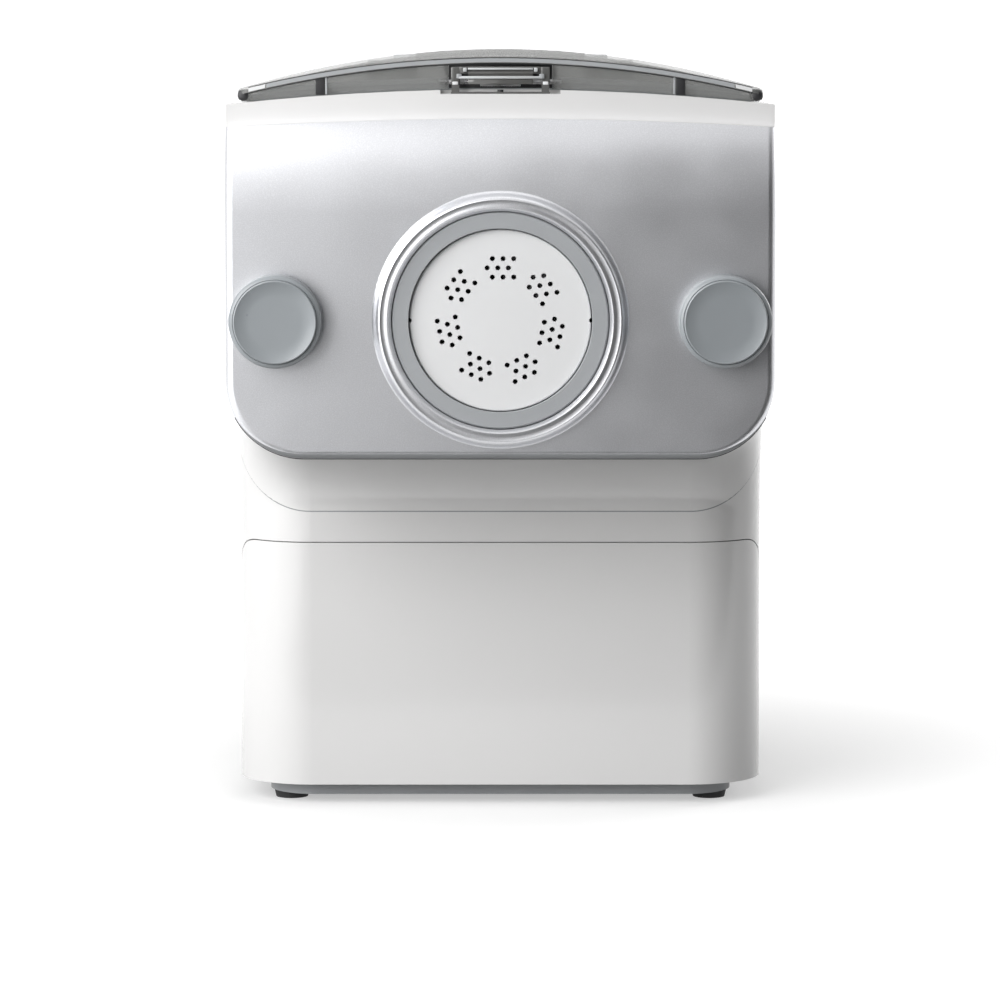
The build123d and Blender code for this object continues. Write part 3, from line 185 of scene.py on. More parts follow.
# A shader node of the given kind: each input takes a plain value or a link from a socket.
def addNode(tree, kind, inputs, **settings):
    node = tree.nodes.new("ShaderNode" + kind)
    for label, value in settings.items():
        setattr(node, label, value)
    for label, value in inputs.items():
        if isinstance(value, bpy.types.NodeSocket):
            tree.links.new(value, node.inputs[label])
        else:
            node.inputs[label].default_value = value
    return node


# Mottle: smooth noise, spread between a low and a high value.
def makeMottle():
    group, given, result = newGroup(
        "softMottle",
        {"Vector": ("NodeSocketVector", None), "Scale": ("NodeSocketFloat", 40.0),
         "Low": ("NodeSocketFloat", 0.2), "High": ("NodeSocketFloat", 0.3)},
        {"Value": "NodeSocketFloat"})
    noise = addNode(group, "TexNoise", {"Vector": given["Vector"], "Scale": given["Scale"], "Detail": 4.0})
    spread = addNode(group, "MapRange", {"Value": noise.outputs["Fac"], "From Min": 0.3, "From Max": 0.7,
                                         "To Min": given["Low"], "To Max": given["High"]})
    group.links.new(spread.outputs["Result"], result["Value"])
    return group


# Grain: fine noise with a cell pattern laid over it, for moulded skins and flake.
def makeGrain():
    group, given, result = newGroup(
        "fineGrain",
        {"Vector": ("NodeSocketVector", None), "Scale": ("NodeSocketFloat", 900.0),
         "Cells": ("NodeSocketFloat", 0.4)},
        {"Height": "NodeSocketFloat", "Mask": "NodeSocketFloat"})
    noise = addNode(group, "TexNoise", {"Vector": given["Vector"], "Scale": given["Scale"], "Detail": 3.0})
    cells = addNode(group, "TexVoronoi", {"Vector": given["Vector"], "Scale": given["Scale"]})
    mix = addNode(group, "Mix", {"Factor": given["Cells"], "A": noise.outputs["Fac"],
                                 "B": cells.outputs["Distance"]})
    group.links.new(mix.outputs["Result"], result["Height"])
    group.links.new(cells.outputs["Distance"], result["Mask"])
    return group


# Brushed lines: noise whose place is multiplied by a different amount along each axis.
def makeBrushed():
    group, given, result = newGroup(
        "brushedLines",
        {"Vector": ("NodeSocketVector", None), "Stretch": ("NodeSocketVector", (30.0, 3000.0, 3000.0))},
        {"Height": "NodeSocketFloat"})
    stretched = addNode(group, "VectorMath", {0: given["Vector"], 1: given["Stretch"]}, operation="MULTIPLY")
    noise = addNode(group, "TexNoise", {"Vector": stretched.outputs["Vector"], "Scale": 1.0, "Detail": 2.0})
    group.links.new(noise.outputs["Fac"], result["Height"])
    return group


# Painted edge highlight: a mask where the surface turns sharply, multiplied by noise and an amount.
def makeEdgeHighlight():
    group, given, result = newGroup(
        "edgeWear",
        {"Vector": ("NodeSocketVector", None), "Pointiness": ("NodeSocketFloat", 0.5),
         "Start": ("NodeSocketFloat", 0.52), "End": ("NodeSocketFloat", 0.6),
         "Amount": ("NodeSocketFloat", 0.5)},
        {"Mask": "NodeSocketFloat"})
    edge = addNode(group, "MapRange", {"Value": given["Pointiness"], "From Min": given["Start"],
                                       "From Max": given["End"]})
    noise = addNode(group, "TexNoise", {"Vector": given["Vector"], "Scale": 120.0, "Detail": 5.0})
    broken = addNode(group, "Math", {0: edge.outputs["Result"], 1: noise.outputs["Fac"]},
                     operation="MULTIPLY")
    scaled = addNode(group, "Math", {0: broken.outputs["Value"], 1: given["Amount"]}, operation="MULTIPLY")
    group.links.new(scaled.outputs["Value"], result["Mask"])
    return group


mottle, grain, brushed, edgeHighlight = makeMottle(), makeGrain(), makeBrushed(), makeEdgeHighlight()
roughFiner = 4  # how much finer the mottle of the roughness is than the tint's
print("node groups made")


# A finish: base colour tinted by a slow mottle, roughness from the mottle, a fine
# bump from the grain or the brushed lines, and a lighter tone painted at sharp edges as a highlight.
def finish(name, colour, roughness, tint, tintScale, grainScale, cells, bump, bumpDepth=0.0002,
           metal=0.0, coat=0.0, coatRoughness=0.08, alpha=1.0, specular=0.5, litEdgeColour=None,
           litEdgeAmount=0.0, lines=None, flake=0.0):
    material = bpy.data.materials.new(name)
    material.use_nodes = True
    tree = material.node_tree
    shader = tree.nodes["Principled BSDF"]
    coords = addNode(tree, "TexCoord", {}).outputs["Object"]
    tone = addNode(tree, "Group", {"Vector": coords, "Scale": tintScale, "Low": 0.0, "High": 1.0},
                   node_tree=mottle)
    blend = addNode(tree, "Mix", {"Factor": tone.outputs["Value"],
                                  "A": (*[c * (1 - tint) for c in colour], 1),
                                  "B": (*[min(1.0, c * (1 + tint)) for c in colour], 1)}, data_type="RGBA")
    shade = blend.outputs["Result"]
    surface = addNode(tree, "Group", {"Vector": coords, "Scale": grainScale, "Cells": cells},
                      node_tree=grain)
    height = surface.outputs["Height"]
    if flake:
        glitter = addNode(tree, "Mix", {"Factor": surface.outputs["Mask"], "A": shade,
                                        "B": (*[min(1.0, c * (1 + flake)) for c in colour], 1)},
                          data_type="RGBA")
        shade = glitter.outputs["Result"]
    # Painted edge highlight: sharp edges are mixed towards a lighter colour.
    if litEdgeColour:
        turning = addNode(tree, "NewGeometry", {}).outputs["Pointiness"]
        edge = addNode(tree, "Group", {"Vector": coords, "Pointiness": turning, "Amount": litEdgeAmount},
                       node_tree=edgeHighlight)
        litEdge = addNode(tree, "Mix", {"Factor": edge.outputs["Mask"], "A": shade, "B": (*litEdgeColour, 1)},
                       data_type="RGBA")
        shade = litEdge.outputs["Result"]
    if lines:
        hair = addNode(tree, "Group", {"Vector": coords, "Stretch": lines}, node_tree=brushed)
        height = hair.outputs["Height"]
    rough = addNode(tree, "Group", {"Vector": coords, "Scale": roughFiner * tintScale,
                                    "Low": roughness[0], "High": roughness[1]}, node_tree=mottle)
    relief = addNode(tree, "Bump", {"Strength": bump, "Distance": bumpDepth, "Height": height})
    tree.links.new(shade, shader.inputs["Base Color"])
    tree.links.new(rough.outputs["Value"], shader.inputs["Roughness"])
    tree.links.new(relief.outputs["Normal"], shader.inputs["Normal"])
    shader.inputs["Metallic"].default_value = metal
    shader.inputs["Coat Weight"].default_value = coat
    shader.inputs["Coat Roughness"].default_value = coatRoughness
    shader.inputs["Alpha"].default_value = alpha
    shader.inputs["Specular IOR Level"].default_value = specular
    return material


finishes = {
    "white_housing": finish(
        "glossWhite", (0.85, 0.845, 0.84), (0.16, 0.2), tint=0.006, tintScale=6.0, grainScale=2200.0,
        cells=0.2, bump=0.02, coat=0.3, coatRoughness=0.05),
    "silver_panel": finish(
        "silverPaint", (0.575, 0.58, 0.6), (0.33, 0.38), tint=0.02, tintScale=10.0, grainScale=2600.0,
        cells=0.6, bump=0.22, bumpDepth=0.00006, metal=0.9, coat=0.15, coatRoughness=0.25, flake=0.22),
    "smoke_lid": finish(
        "smokeClear", (0.37, 0.375, 0.365), (0.14, 0.2), tint=0.03, tintScale=8.0, grainScale=1800.0,
        cells=0.2, bump=0.01, alpha=0.45, specular=0.3),
    "clear_plastic": finish(
        "clearMoulding", (0.15, 0.15, 0.145), (0.05, 0.1), tint=0.03, tintScale=30.0, grainScale=2000.0,
        cells=0.2, bump=0.02, alpha=0.85, coat=0.5, coatRoughness=0.03),
    "grey_plastic": finish(
        "greyTrim", (0.42, 0.435, 0.45), (0.34, 0.42), tint=0.03, tintScale=25.0, grainScale=1500.0,
        cells=0.4, bump=0.12, bumpDepth=0.0001, litEdgeColour=(0.45, 0.47, 0.48), litEdgeAmount=0.25),
    "knob_grey": finish(
        "knobGrey", (0.318, 0.342, 0.36), (0.27, 0.33), tint=0.02, tintScale=25.0, grainScale=1700.0,
        cells=0.3, bump=0.06, bumpDepth=0.0001, coat=0.25, coatRoughness=0.15,
        litEdgeColour=(0.5, 0.53, 0.54), litEdgeAmount=0.3),
    "die_white": finish(
        "dieWhite", (0.87, 0.875, 0.88), (0.28, 0.35), tint=0.01, tintScale=20.0, grainScale=1600.0,
        cells=0.3, bump=0.06, bumpDepth=0.0001, coat=0.15, coatRoughness=0.12),
    "chamber_grey": finish(
        "chamberGrey", (0.5, 0.53, 0.55), (0.18, 0.26), tint=0.03, tintScale=15.0, grainScale=1300.0,
        cells=0.3, bump=0.06, alpha=0.9, coat=0.2),
    "dark_plastic": finish(
        "blackMoulding", (0.02, 0.02, 0.022), (0.4, 0.5), tint=0.1, tintScale=30.0, grainScale=1200.0,
        cells=0.5, bump=0.2, bumpDepth=0.0001, litEdgeColour=(0.08, 0.08, 0.085), litEdgeAmount=0.3),
    "inner_plastic": finish(
        "innerGrey", (0.3, 0.31, 0.32), (0.45, 0.55), tint=0.05, tintScale=20.0, grainScale=1100.0,
        cells=0.4, bump=0.15, bumpDepth=0.0001),
    "rubber": finish(
        "footRubber", (0.022, 0.022, 0.023), (0.62, 0.75), tint=0.15, tintScale=60.0, grainScale=1500.0,
        cells=0.5, bump=0.3, bumpDepth=0.00015, litEdgeColour=(0.09, 0.09, 0.09), litEdgeAmount=0.4),
    "silicone": finish(
        "paleSilicone", (0.6, 0.62, 0.63), (0.5, 0.6), tint=0.04, tintScale=40.0, grainScale=1500.0,
        cells=0.4, bump=0.1),
    "steel": finish(
        "brushedSteel", (0.56, 0.56, 0.57), (0.24, 0.34), tint=0.04, tintScale=40.0, grainScale=1500.0,
        cells=0.3, bump=0.12, bumpDepth=0.00005, metal=1.0, lines=(2400.0, 60.0, 2400.0)),
    "gear_plastic": finish(
        "gearNylon", (0.76, 0.73, 0.64), (0.4, 0.5), tint=0.03, tintScale=30.0, grainScale=1400.0,
        cells=0.4, bump=0.1, bumpDepth=0.0001),
    "copper": finish(
        "windingCopper", (0.55, 0.2, 0.08), (0.25, 0.4), tint=0.12, tintScale=60.0, grainScale=900.0,
        cells=0.3, bump=0.5, bumpDepth=0.0003, metal=0.9, lines=(120.0, 2500.0, 120.0)),
    "lamination": finish(
        "stackedSteel", (0.22, 0.23, 0.24), (0.35, 0.5), tint=0.08, tintScale=40.0, grainScale=900.0,
        cells=0.3, bump=0.4, metal=0.9, lines=(60.0, 3000.0, 60.0)),
    "board_green": finish(
        "boardGreen", (0.02, 0.13, 0.06), (0.3, 0.4), tint=0.1, tintScale=60.0, grainScale=1200.0,
        cells=0.4, bump=0.1, bumpDepth=0.0001, coat=0.3),
    "window_glass": finish(
        "darkWindow", (0.012, 0.014, 0.017), (0.06, 0.1), tint=0.05, tintScale=20.0, grainScale=1500.0,
        cells=0.2, bump=0.01, coat=0.6, coatRoughness=0.02),
    "button_grey": finish(
        "buttonGrey", (0.62, 0.64, 0.65), (0.32, 0.4), tint=0.02, tintScale=40.0, grainScale=1600.0,
        cells=0.4, bump=0.1, bumpDepth=0.0001, litEdgeColour=(0.75, 0.76, 0.77), litEdgeAmount=0.3),
}
for entry in frame["record"]["subparts"]:
    node = nodes[entry["node"]]
    node.data.materials.clear()
    node.data.materials.append(finishes[entry["material_slot"]])
print("finishes on the nodes")


# Each new piece gets the finish of the slot it stands for and the body that it moves with.
def dress(piece, slot, body):
    piece.data.materials.append(finishes[slot])
    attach(piece, body)
    return piece


lidLow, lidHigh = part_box("lid_cover")
grateLow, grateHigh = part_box("pouring_grate")
grateGap = 0.0002
lid = {
    "half": lidHigh.x, "frontY": lidLow.y, "backY": -0.001, "corner": 0.005, "leastCorner": 0.0008,
    "crestZ": lidHigh.z, "crestRadius": 0.353, "frontDrop": 0.0027, "domeDepth": 0.034,
    "rimZ": 0.2928, "rimRadius": 0.985, "seat": 0.0003,
    "topInset": 0.0012, "lipHeight": 0.0026, "skirtInset": 0.0013, "window": 0.0204, "wall": 0.0022,
    "grateHalf": grateHigh.x + grateGap, "grateFront": grateLow.y - grateGap,
    "grateBack": grateHigh.y + grateGap,
}
# How far the lip's rings lie inside the lid's outline, and how far below its top.
lipProfile = ((0.0004, 0.0002), (0.0, 0.0008), (0.0, lid["lipHeight"]),
              (lid["skirtInset"], lid["lipHeight"] + 0.0001))
# Lines in the lid's grid: on a corner's arc, from front to back and from the middle out.
lidGrid = {"arc": 7, "front": 14, "grate": 8, "back": 14, "margin": 0.008,
           "window": 7, "besideWindow": 5, "outer": 26}


# Sagitta of a circle: how far an arc of this radius falls at a distance from its crown.
def arcDrop(x, radius):
    return radius - np.sqrt(radius**2 - x**2)


# Top of the lid: the crown arc less a dome drop that grows with the square of the
# distance in front of the dome line and fades to nothing at the two ends.
def lidTop(x, y):
    near = np.clip((lid["frontY"] + lid["domeDepth"] - y) / lid["domeDepth"], 0, 1)
    fade = 1 - (x / lid["half"])**2
    return lid["crestZ"] - arcDrop(x, lid["crestRadius"]) - lid["frontDrop"] * near**2 * fade


# Foot of the lid's skirt: the arc of the rim under it, plus the gap that it is seated with.
def skirtFoot(x):
    return lid["rimZ"] - arcDrop(x, lid["rimRadius"]) + lid["seat"]


# Plan of the lid as rows of places: straight rows of fixed depth, and at front and
# back rows that follow the corner arc, each spread over the width the arc leaves.
def lidPlan(inset):
    corner = max(lid["corner"] - inset, lid["leastCorner"])
    arc = np.linspace(0, np.pi / 2, lidGrid["arc"])
    rise, span = corner * (1 - np.cos(arc)), lid["half"] - inset - corner * (1 - np.sin(arc))
    middle = np.concatenate([
        np.linspace(lid["frontY"] + lidGrid["margin"], lid["grateFront"], lidGrid["front"]),
        np.linspace(lid["grateFront"], lid["grateBack"], lidGrid["grate"])[1:-1],
        np.linspace(lid["grateBack"], lid["backY"] - lidGrid["margin"], lidGrid["back"])])
    depth = np.concatenate([lid["frontY"] + inset + rise, middle, lid["backY"] - inset - rise[::-1]])
    half = np.concatenate([span, np.full(len(middle), lid["half"] - inset), span[::-1]])[:, None]
    inner = np.concatenate([
        np.linspace(0, lid["window"], lidGrid["window"]),
        np.linspace(lid["window"], lid["grateHalf"], lidGrid["besideWindow"])[1:]])
    outer = np.linspace(0, 1, lidGrid["outer"])[1:]
    right = np.hstack([np.broadcast_to(inner, (len(depth), len(inner))),
                       lid["grateHalf"] + (half - lid["grateHalf"]) * outer])
    across = np.hstack([-right[:, :0:-1], right])
    return across, np.broadcast_to(depth[:, None], across.shape)


# The loop round the edge of such a plan: front, right side, back, left side.
def planLoop(grid):
    return np.concatenate([grid[0, :-1], grid[:-1, -1], grid[-1, :0:-1], grid[:0:-1, 0]])


# Lid shell: the crowned top as a grid with the grate's opening left out, then a
# rounded lip, a step in and a skirt down to the rim, with the latch window left out.
def makeLidShell():
    x, y = lidPlan(lid["topInset"])
    top = np.stack([x, y, lidTop(x, y)], -1)
    middleX, middleY = (x[:-1, :-1] + x[1:, 1:]) / 2, (y[:-1, :-1] + y[1:, 1:]) / 2
    opening = ((np.abs(middleX) < lid["grateHalf"]) & (middleY > lid["grateFront"])
               & (middleY < lid["grateBack"]))
    topFaces = gridFaces(*x.shape)[~opening]
    rings = [planLoop(top)]
    for inset, below in lipProfile:
        ringX, ringY = (planLoop(part) for part in lidPlan(inset))
        rings.append(np.stack([ringX, ringY, lidTop(ringX, ringY) - below], -1))
    rings.append(np.stack([ringX, ringY, skirtFoot(ringX)], -1))
    wall = np.array(rings)
    wallFaces = gridFaces(*wall.shape[:2], wrapColumns=True) + x.size
    middle = (wall[-1] + np.roll(wall[-1], -1, 0)) / 2
    window = (np.abs(middle[:, 0]) < lid["window"]) & (middle[:, 1] < lid["frontY"] + lid["corner"])
    faces = np.concatenate([topFaces, wallFaces[:-1].reshape(-1, 4), wallFaces[-1][~window]])
    piece = meshPiece("lidShell", np.concatenate([top.reshape(-1, 3), wall.reshape(-1, 3)]), faces)
    shell = piece.modifiers.new("wall", "SOLIDIFY")
    shell.thickness = lid["wall"]
    shell.offset = -1
    shell.use_even_offset = False
    return piece


lidShell = makeLidShell()
lidShell.data.materials.append(finishes["smoke_lid"])
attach(lidShell, "lid")
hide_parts("lid_cover")
print("lid shell made")

hinge = {"y": axes["lid_hinge"][1], "z": axes["lid_hinge"][2],
         "radius": lidHigh.y - axes["lid_hinge"][1], "pin": 0.00205,
         "half": 0.003, "edge": 0.0004, "steps": 48,
         "web": 0.003, "overlap": 0.0015, "places": (-0.0533, -0.0387, 0.0387, 0.0533)}


# Hinge knuckle: a tube with bevelled rims, its profile of (place, radius) carried round
# the pin along X.
def makeKnuckle(name, x):
    half, radius, edge, pin = (hinge[key] for key in ("half", "radius", "edge", "pin"))
    profile = np.array([(-half, pin), (-half, radius - edge), (edge - half, radius), (half - edge, radius),
                        (half, radius - edge), (half, pin), (-half, pin)])
    place, reach = profile.T[..., None]
    turn = fullTurn(hinge["steps"])
    tube = np.stack([x + place + 0 * turn, hinge["y"] + reach * np.cos(turn),
                     hinge["z"] + reach * np.sin(turn)], -1)
    return meshPiece(name, tube, gridFaces(*tube.shape[:2], wrapColumns=True))


# Web of a knuckle: a flat bar from inside the lid's back wall to the pin.
def makeWeb(name, x):
    low = (x - hinge["half"], lid["backY"] - hinge["overlap"], hinge["z"] - hinge["web"])
    high = (x + hinge["half"], hinge["y"] - hinge["pin"], hinge["z"] + hinge["web"])
    return roundedBar(name, low, high, hinge["edge"])


for number, x in enumerate(hinge["places"]):
    dress(makeKnuckle(f"lidKnuckle{number}", x), "smoke_lid", "lid")
    dress(makeWeb(f"lidWeb{number}", x), "smoke_lid", "lid")
print("hinge knuckles made")

rib = {
    "proud": 0.0003, "deep": 0.0022, "gap": 0.0002, "edge": 0.0002,
    "bars": (("Outer", 0.0707, 0.0036, "dark_plastic"), ("Inner", 0.0683, 0.0008, "grey_plastic")),
}


# Rib on the lid's front wall: a shallow upright bar from the rim to the lip.
def makeRib(name, x, width):
    face = lid["frontY"] + lid["skirtInset"]
    top = lidTop(x, lid["frontY"]) - lid["lipHeight"] - rib["gap"]
    return roundedBar(name, (x - width / 2, face - rib["proud"], skirtFoot(x)),
                      (x + width / 2, face + rib["deep"], top), rib["edge"])


for side, tag in sides:
    for place, x, width, slot in rib["bars"]:
        dress(makeRib(f"lidRib{tag}{place}", side * x, width), slot, "lid")
print("lid ribs made")

latchLow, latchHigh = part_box("lid_latch")
latch = {
    "half": 0.0127, "front": latchLow.y, "back": latchLow.y + 0.0026,
    "low": latchHigh.z - 0.005, "high": latchHigh.z,
    "armInner": 0.0158, "armOuter": latchHigh.x, "barrel": 0.0016,
    "pinY": axes["latch_lift"][1], "pinZ": axes["latch_lift"][2],
    "ridges": 3, "ridgeHeight": 0.0006, "edge": 0.0003, "edgeShare": 0.88, "steps": 64,
    "noseHalf": 0.003, "noseBehind": 0.001, "noseFoot": -0.002, "noseTop": 0.001, "noseEdge": 0.0004,
}
# Bars at each side of the lever: distances from the middle, depth, height and edge.
leverBars = {
    "latchArm": ((latch["armInner"], latch["armOuter"]), (latch["front"] + 0.0006, latch["back"] + 0.0008),
                 (latch["pinZ"] - 0.0012, latch["high"]), 0.0006),
    "latchBarrel": ((latch["armInner"], latch["armOuter"]),
                    (latch["pinY"] - latch["barrel"], latch["pinY"] + latch["barrel"]),
                    (latch["pinZ"] - latch["barrel"], latch["pinZ"] + latch["barrel"]), 0.0014),
    "latchBridge": ((0.012, 0.0165), (latch["front"] + 0.0008, latch["back"]),
                    (latch["high"] - 0.0028, latch["high"]), 0.0004),
}


# Latch lever face: a thin plate whose front carries level ridges, each a half sine, and
# whose outline shrinks to a point at both ends.
def makeLever():
    height = np.linspace(0, 1, latch["steps"])
    ridge = latch["ridgeHeight"] * np.abs(np.sin(np.pi * latch["ridges"] * height))
    level = latch["low"] + (latch["high"] - latch["low"]) * height
    face = np.stack([latch["front"] + latch["ridgeHeight"] - ridge, level], -1)
    section = np.concatenate([face, [[latch["back"], latch["high"]], [latch["back"], latch["low"]]]])
    half, edge, share = latch["half"], latch["edge"], latch["edgeShare"]
    stations = np.array([-half, -half, edge - half, half - edge, half, half])
    drawn = np.array([0, share, 1, 1, share, 0])
    places = np.empty((len(stations), len(section), 3))
    places[..., 0] = stations[:, None]
    places[..., 1:] = section.mean(0) + (section - section.mean(0)) * drawn[:, None, None]
    return meshPiece("latchLever", places, gridFaces(*places.shape[:2], wrapColumns=True))


leverParts = [dress(makeLever(), "clear_plastic", "latch")]
for side, tag in sides:
    for name, values in leverBars.items():
        leverParts.append(dress(sideBar(name + tag, side, *values), "clear_plastic", "latch"))
dress(sideBar("latchNose", 1, (-latch["noseHalf"], latch["noseHalf"]),
              (latch["front"] + latch["noseBehind"], latch["back"]),
              (latch["low"] + latch["noseFoot"], latch["low"] + latch["noseTop"]), latch["noseEdge"]),
      "clear_plastic", "latch")
for piece in leverParts:
    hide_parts("lid_latch")
print("latch made")

trim = {"end": 0.0988, "insert": 0.0065, "insertLine": (0.0016, 0.0014, 0.0, 0.00005), "steps": 90}
post = {"width": 0.0052, "proud": 0.00004, "front": 0.0011, "back": 0.0055, "height": 0.0045,
        "edge": 0.0016}
# Lines on the lid's front, painted: a shade along the top edge, a light band on the lip and a shadow under it.
# Each gives how far it stops short of the trim's ends, then how far below the lid's edge it runs, its width, inset
# and depth, as the glint's line has too.
lidLines = {
    # Painted shade along the lid's top front edge.
    "lidEdgeLine": (0.0, 0.0006, 0.00035, 0.0, 0.00006, "dark_plastic"),
    # Painted highlight band on the lip's face.
    "lidLipBand": (0.007, 0.0016, 0.0015, 0.0, 0.00005, "grey_plastic"),
    # Painted shadow under the lip.
    "lidSkirtLine": (0.0, 0.00285, 0.00045, lid["skirtInset"], 0.0001, "dark_plastic"),
}


# Line on the lid's front: it follows the lid's front edge, a given amount below it.
def makeLidLine(name, low, high, below, width, inset, depth):
    x = np.linspace(low, high, trim["steps"])
    z = lidTop(x, lid["frontY"]) - below
    path = np.stack([x, np.full(len(x), lid["frontY"] + inset), z], -1)
    up, out = np.broadcast_to((0, 0, 1), path.shape), np.broadcast_to((0, -1, 0), path.shape)
    return ribbon(name, path, up, out, width, depth)


for name, (short, *values, slot) in lidLines.items():
    dress(makeLidLine(name, short - trim["end"], trim["end"] - short, *values), slot, "lid")
for side, tag in sides:
    # Painted glint: a white strip at each end of the lip.
    low, high = sorted((side * (trim["end"] - trim["insert"]), side * trim["end"]))
    dress(makeLidLine(f"lidLipGlint{tag}", low, high, *trim["insertLine"]), "die_white", "lid")
    inner, outer = lid["half"] - post["width"], lid["half"] + post["proud"]
    foot = skirtFoot(inner)
    dress(sideBar(f"lidPost{tag}", side, (inner, outer),
                  (lid["frontY"] + post["front"], lid["frontY"] + post["back"]),
                  (foot, foot + post["height"]), post["edge"]), "dark_plastic", "lid")
print("lid lines and corner posts made")

# Latch dressing: a dark block behind the lever as the painted shade of its pocket, two pale level bars
# across it, an apron below it and at each side a hook, pale as a painted glint, a jaw and a pale post.
# Depths are counted from the lever's front, heights from its pin.
dressing = {
    "pocket": ((-0.0203, 0.0203), (0.0069, 0.0073), (-0.0025, 0.0079), 0.0001), "edge": 0.00025,
    "across": (("latchBarHigh", 0.0128, (-0.0004, 0.0004), (0.0047, 0.0054), "button_grey"),
               ("latchBarLow", 0.0165, (-0.0005, 0.0005), (0.0012, 0.0022), "button_grey"),
               ("latchApron", 0.0128, (0.0, 0.0006), (-0.001, 0.001), "clear_plastic")),
    # The hook is pale as a painted glint.
    "beside": (("latchHook", (0.0132, 0.0146), (-0.0005, 0.0005), (0.0039, 0.0055), "button_grey"),
               ("latchJaw", (0.0152, 0.0172), (-0.0005, 0.0005), (0.0013, 0.0031), "grey_plastic"),
               ("latchPost", (0.0166, 0.0188), (-0.0006, 0.0006), (-0.0023, 0.0001), "die_white")),
}


# Bar of the dressing: depths from the lever's front and heights from the pin are added up.
def dressingBar(name, side, across, depth, height, edge):
    depth, height = np.add(depth, latch["front"]), np.add(height, latch["pinZ"])
    return sideBar(name, side, across, depth, height, edge)


# Painted shade: a dark block behind the lever stands in for the pocket's shade.
dress(dressingBar("latchPocket", 1, *dressing["pocket"]), "dark_plastic", "lid")
for name, half, depth, height, slot in dressing["across"]:
    dress(dressingBar(name, 1, (-half, half), depth, height, dressing["edge"]), slot, "latch")
for name, across, depth, height, slot in dressing["beside"]:
    for side, tag in sides:
        dress(dressingBar(name + tag, side, across, depth, height, dressing["edge"]), slot, "latch")
print("latch dressed")

# Clamp knobs: stem, round side, a bevelled rim with a fine step and a dished face, as
# (radius, depth behind the foremost edge).
knob = {
    "x": axes["right_clamp_turn"][0], "z": axes["right_clamp_turn"][2],
    "face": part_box("left_knob")[0].y, "steps": 160,
    "profile": ((0, 0.037), (0.003, 0.037), (0.003, 0.033), (0.005, 0.033), (0.005, 0.0135),
                (0.0173, 0.0135), (0.01785, 0.0133), (0.0181, 0.0127), (0.0181, 0.0031),
                (0.01795, 0.0024), (0.0176, 0.002), (0.0168, 0.0013), (0.01655, 0.00125),
                (0.01645, 0.0016), (0.01632, 0.0016), (0.01628, 0.0006), (0.0161, 0.00015), (0.0158, 0),
                (0.0155, 0.00005), (0.0151, 0.00025), (0.01, 0.00045), (0, 0.00055)),
}
# Bezel round the ring: an outer crest and an inner crest with a shallow channel between,
# as (radius, lift in front of the panel's face).
bezel = {
    "face": -0.1573, "steps": 200,
    "profile": ((0.0506, 0), (0.0501, 0.00035), (0.0496, 0.001), (0.0491, 0.002), (0.0486, 0.003),
                (0.0481, 0.0038), (0.0476, 0.0043), (0.0471, 0.00445), (0.0467, 0.00435),
                (0.0457, 0.00425), (0.0451, 0.00433), (0.0446, 0.0045), (0.0441, 0.0045),
                (0.0436, 0.0041), (0.0432, 0.0034), (0.0427, 0.0028), (0.0426, 0.0005)),
}
# Flat face of the ring with fine rounded edges, as (radius, depth behind the ring's front).
ringFace = {
    "face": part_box("die_ring")[0].y, "steps": 200,
    "profile": ((0.0359, 0.001), (0.0359, 0.00005), (0.03605, -0.0001), (0.0417, -0.0001),
                (0.042, 0.00012), (0.0422, 0.0005), (0.0423, 0.0012)),
}


# A turned piece from its dictionary, at the level of the knobs and the ring: each depth is
# counted backwards (1) or forwards (-1) from the piece's face.
def turnedFrom(name, values, x, way):
    profile = np.array(values["profile"]) * (1, way) + (0, values["face"])
    return turned(name, profile, x, knob["z"], values["steps"])


for side, tag in ((-1, "left"), (1, "right")):
    piece = dress(turnedFrom(f"{tag}KnobTurned", knob, side * knob["x"], 1), "knob_grey", f"{tag}_clamp")
    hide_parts(f"{tag}_knob")
dress(turnedFrom("panelBezel", bezel, 0, -1), "silver_panel", "panel")

panelLow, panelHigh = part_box("front_panel")
panelCorner = 0.0304
panel = {
    "bottom": panelLow.z, "corner": panelCorner, "flat": panelHigh.x - panelCorner,
    "edgeY": -0.1505, "edgeReach": 62.0, "edgeWidth": 0.005, "edgeDepth": 0.0005, "edgeSteps": 30,
    "shellY": -0.1545, "shellReach": 66.0, "shellSteps": 31, "shellArc": 12, "round": 0.003,
    "shellLift": 0.00006, "shellSunk": 0.0003, "shellStart": 20, "shellTaper": 68, "shellEnd": 95,
}


# Painted shade under the panel: a thin dark band along its bottom edge and round its lower corners.
def makePanelEdgeShade():
    x, z, lean = upturnedLine(panel["flat"], panel["bottom"], panel["corner"], panel["edgeReach"],
                              panel["edgeSteps"], panel["edgeSteps"])
    path = np.stack([x, np.full(len(x), panel["edgeY"]), z], -1)
    out = np.stack([np.sin(lean), 0 * lean, -np.cos(lean)], -1)
    back = np.broadcast_to((0, 1, 0), path.shape)
    return ribbon("panelEdge", path, back, out, panel["edgeWidth"], panel["edgeDepth"])


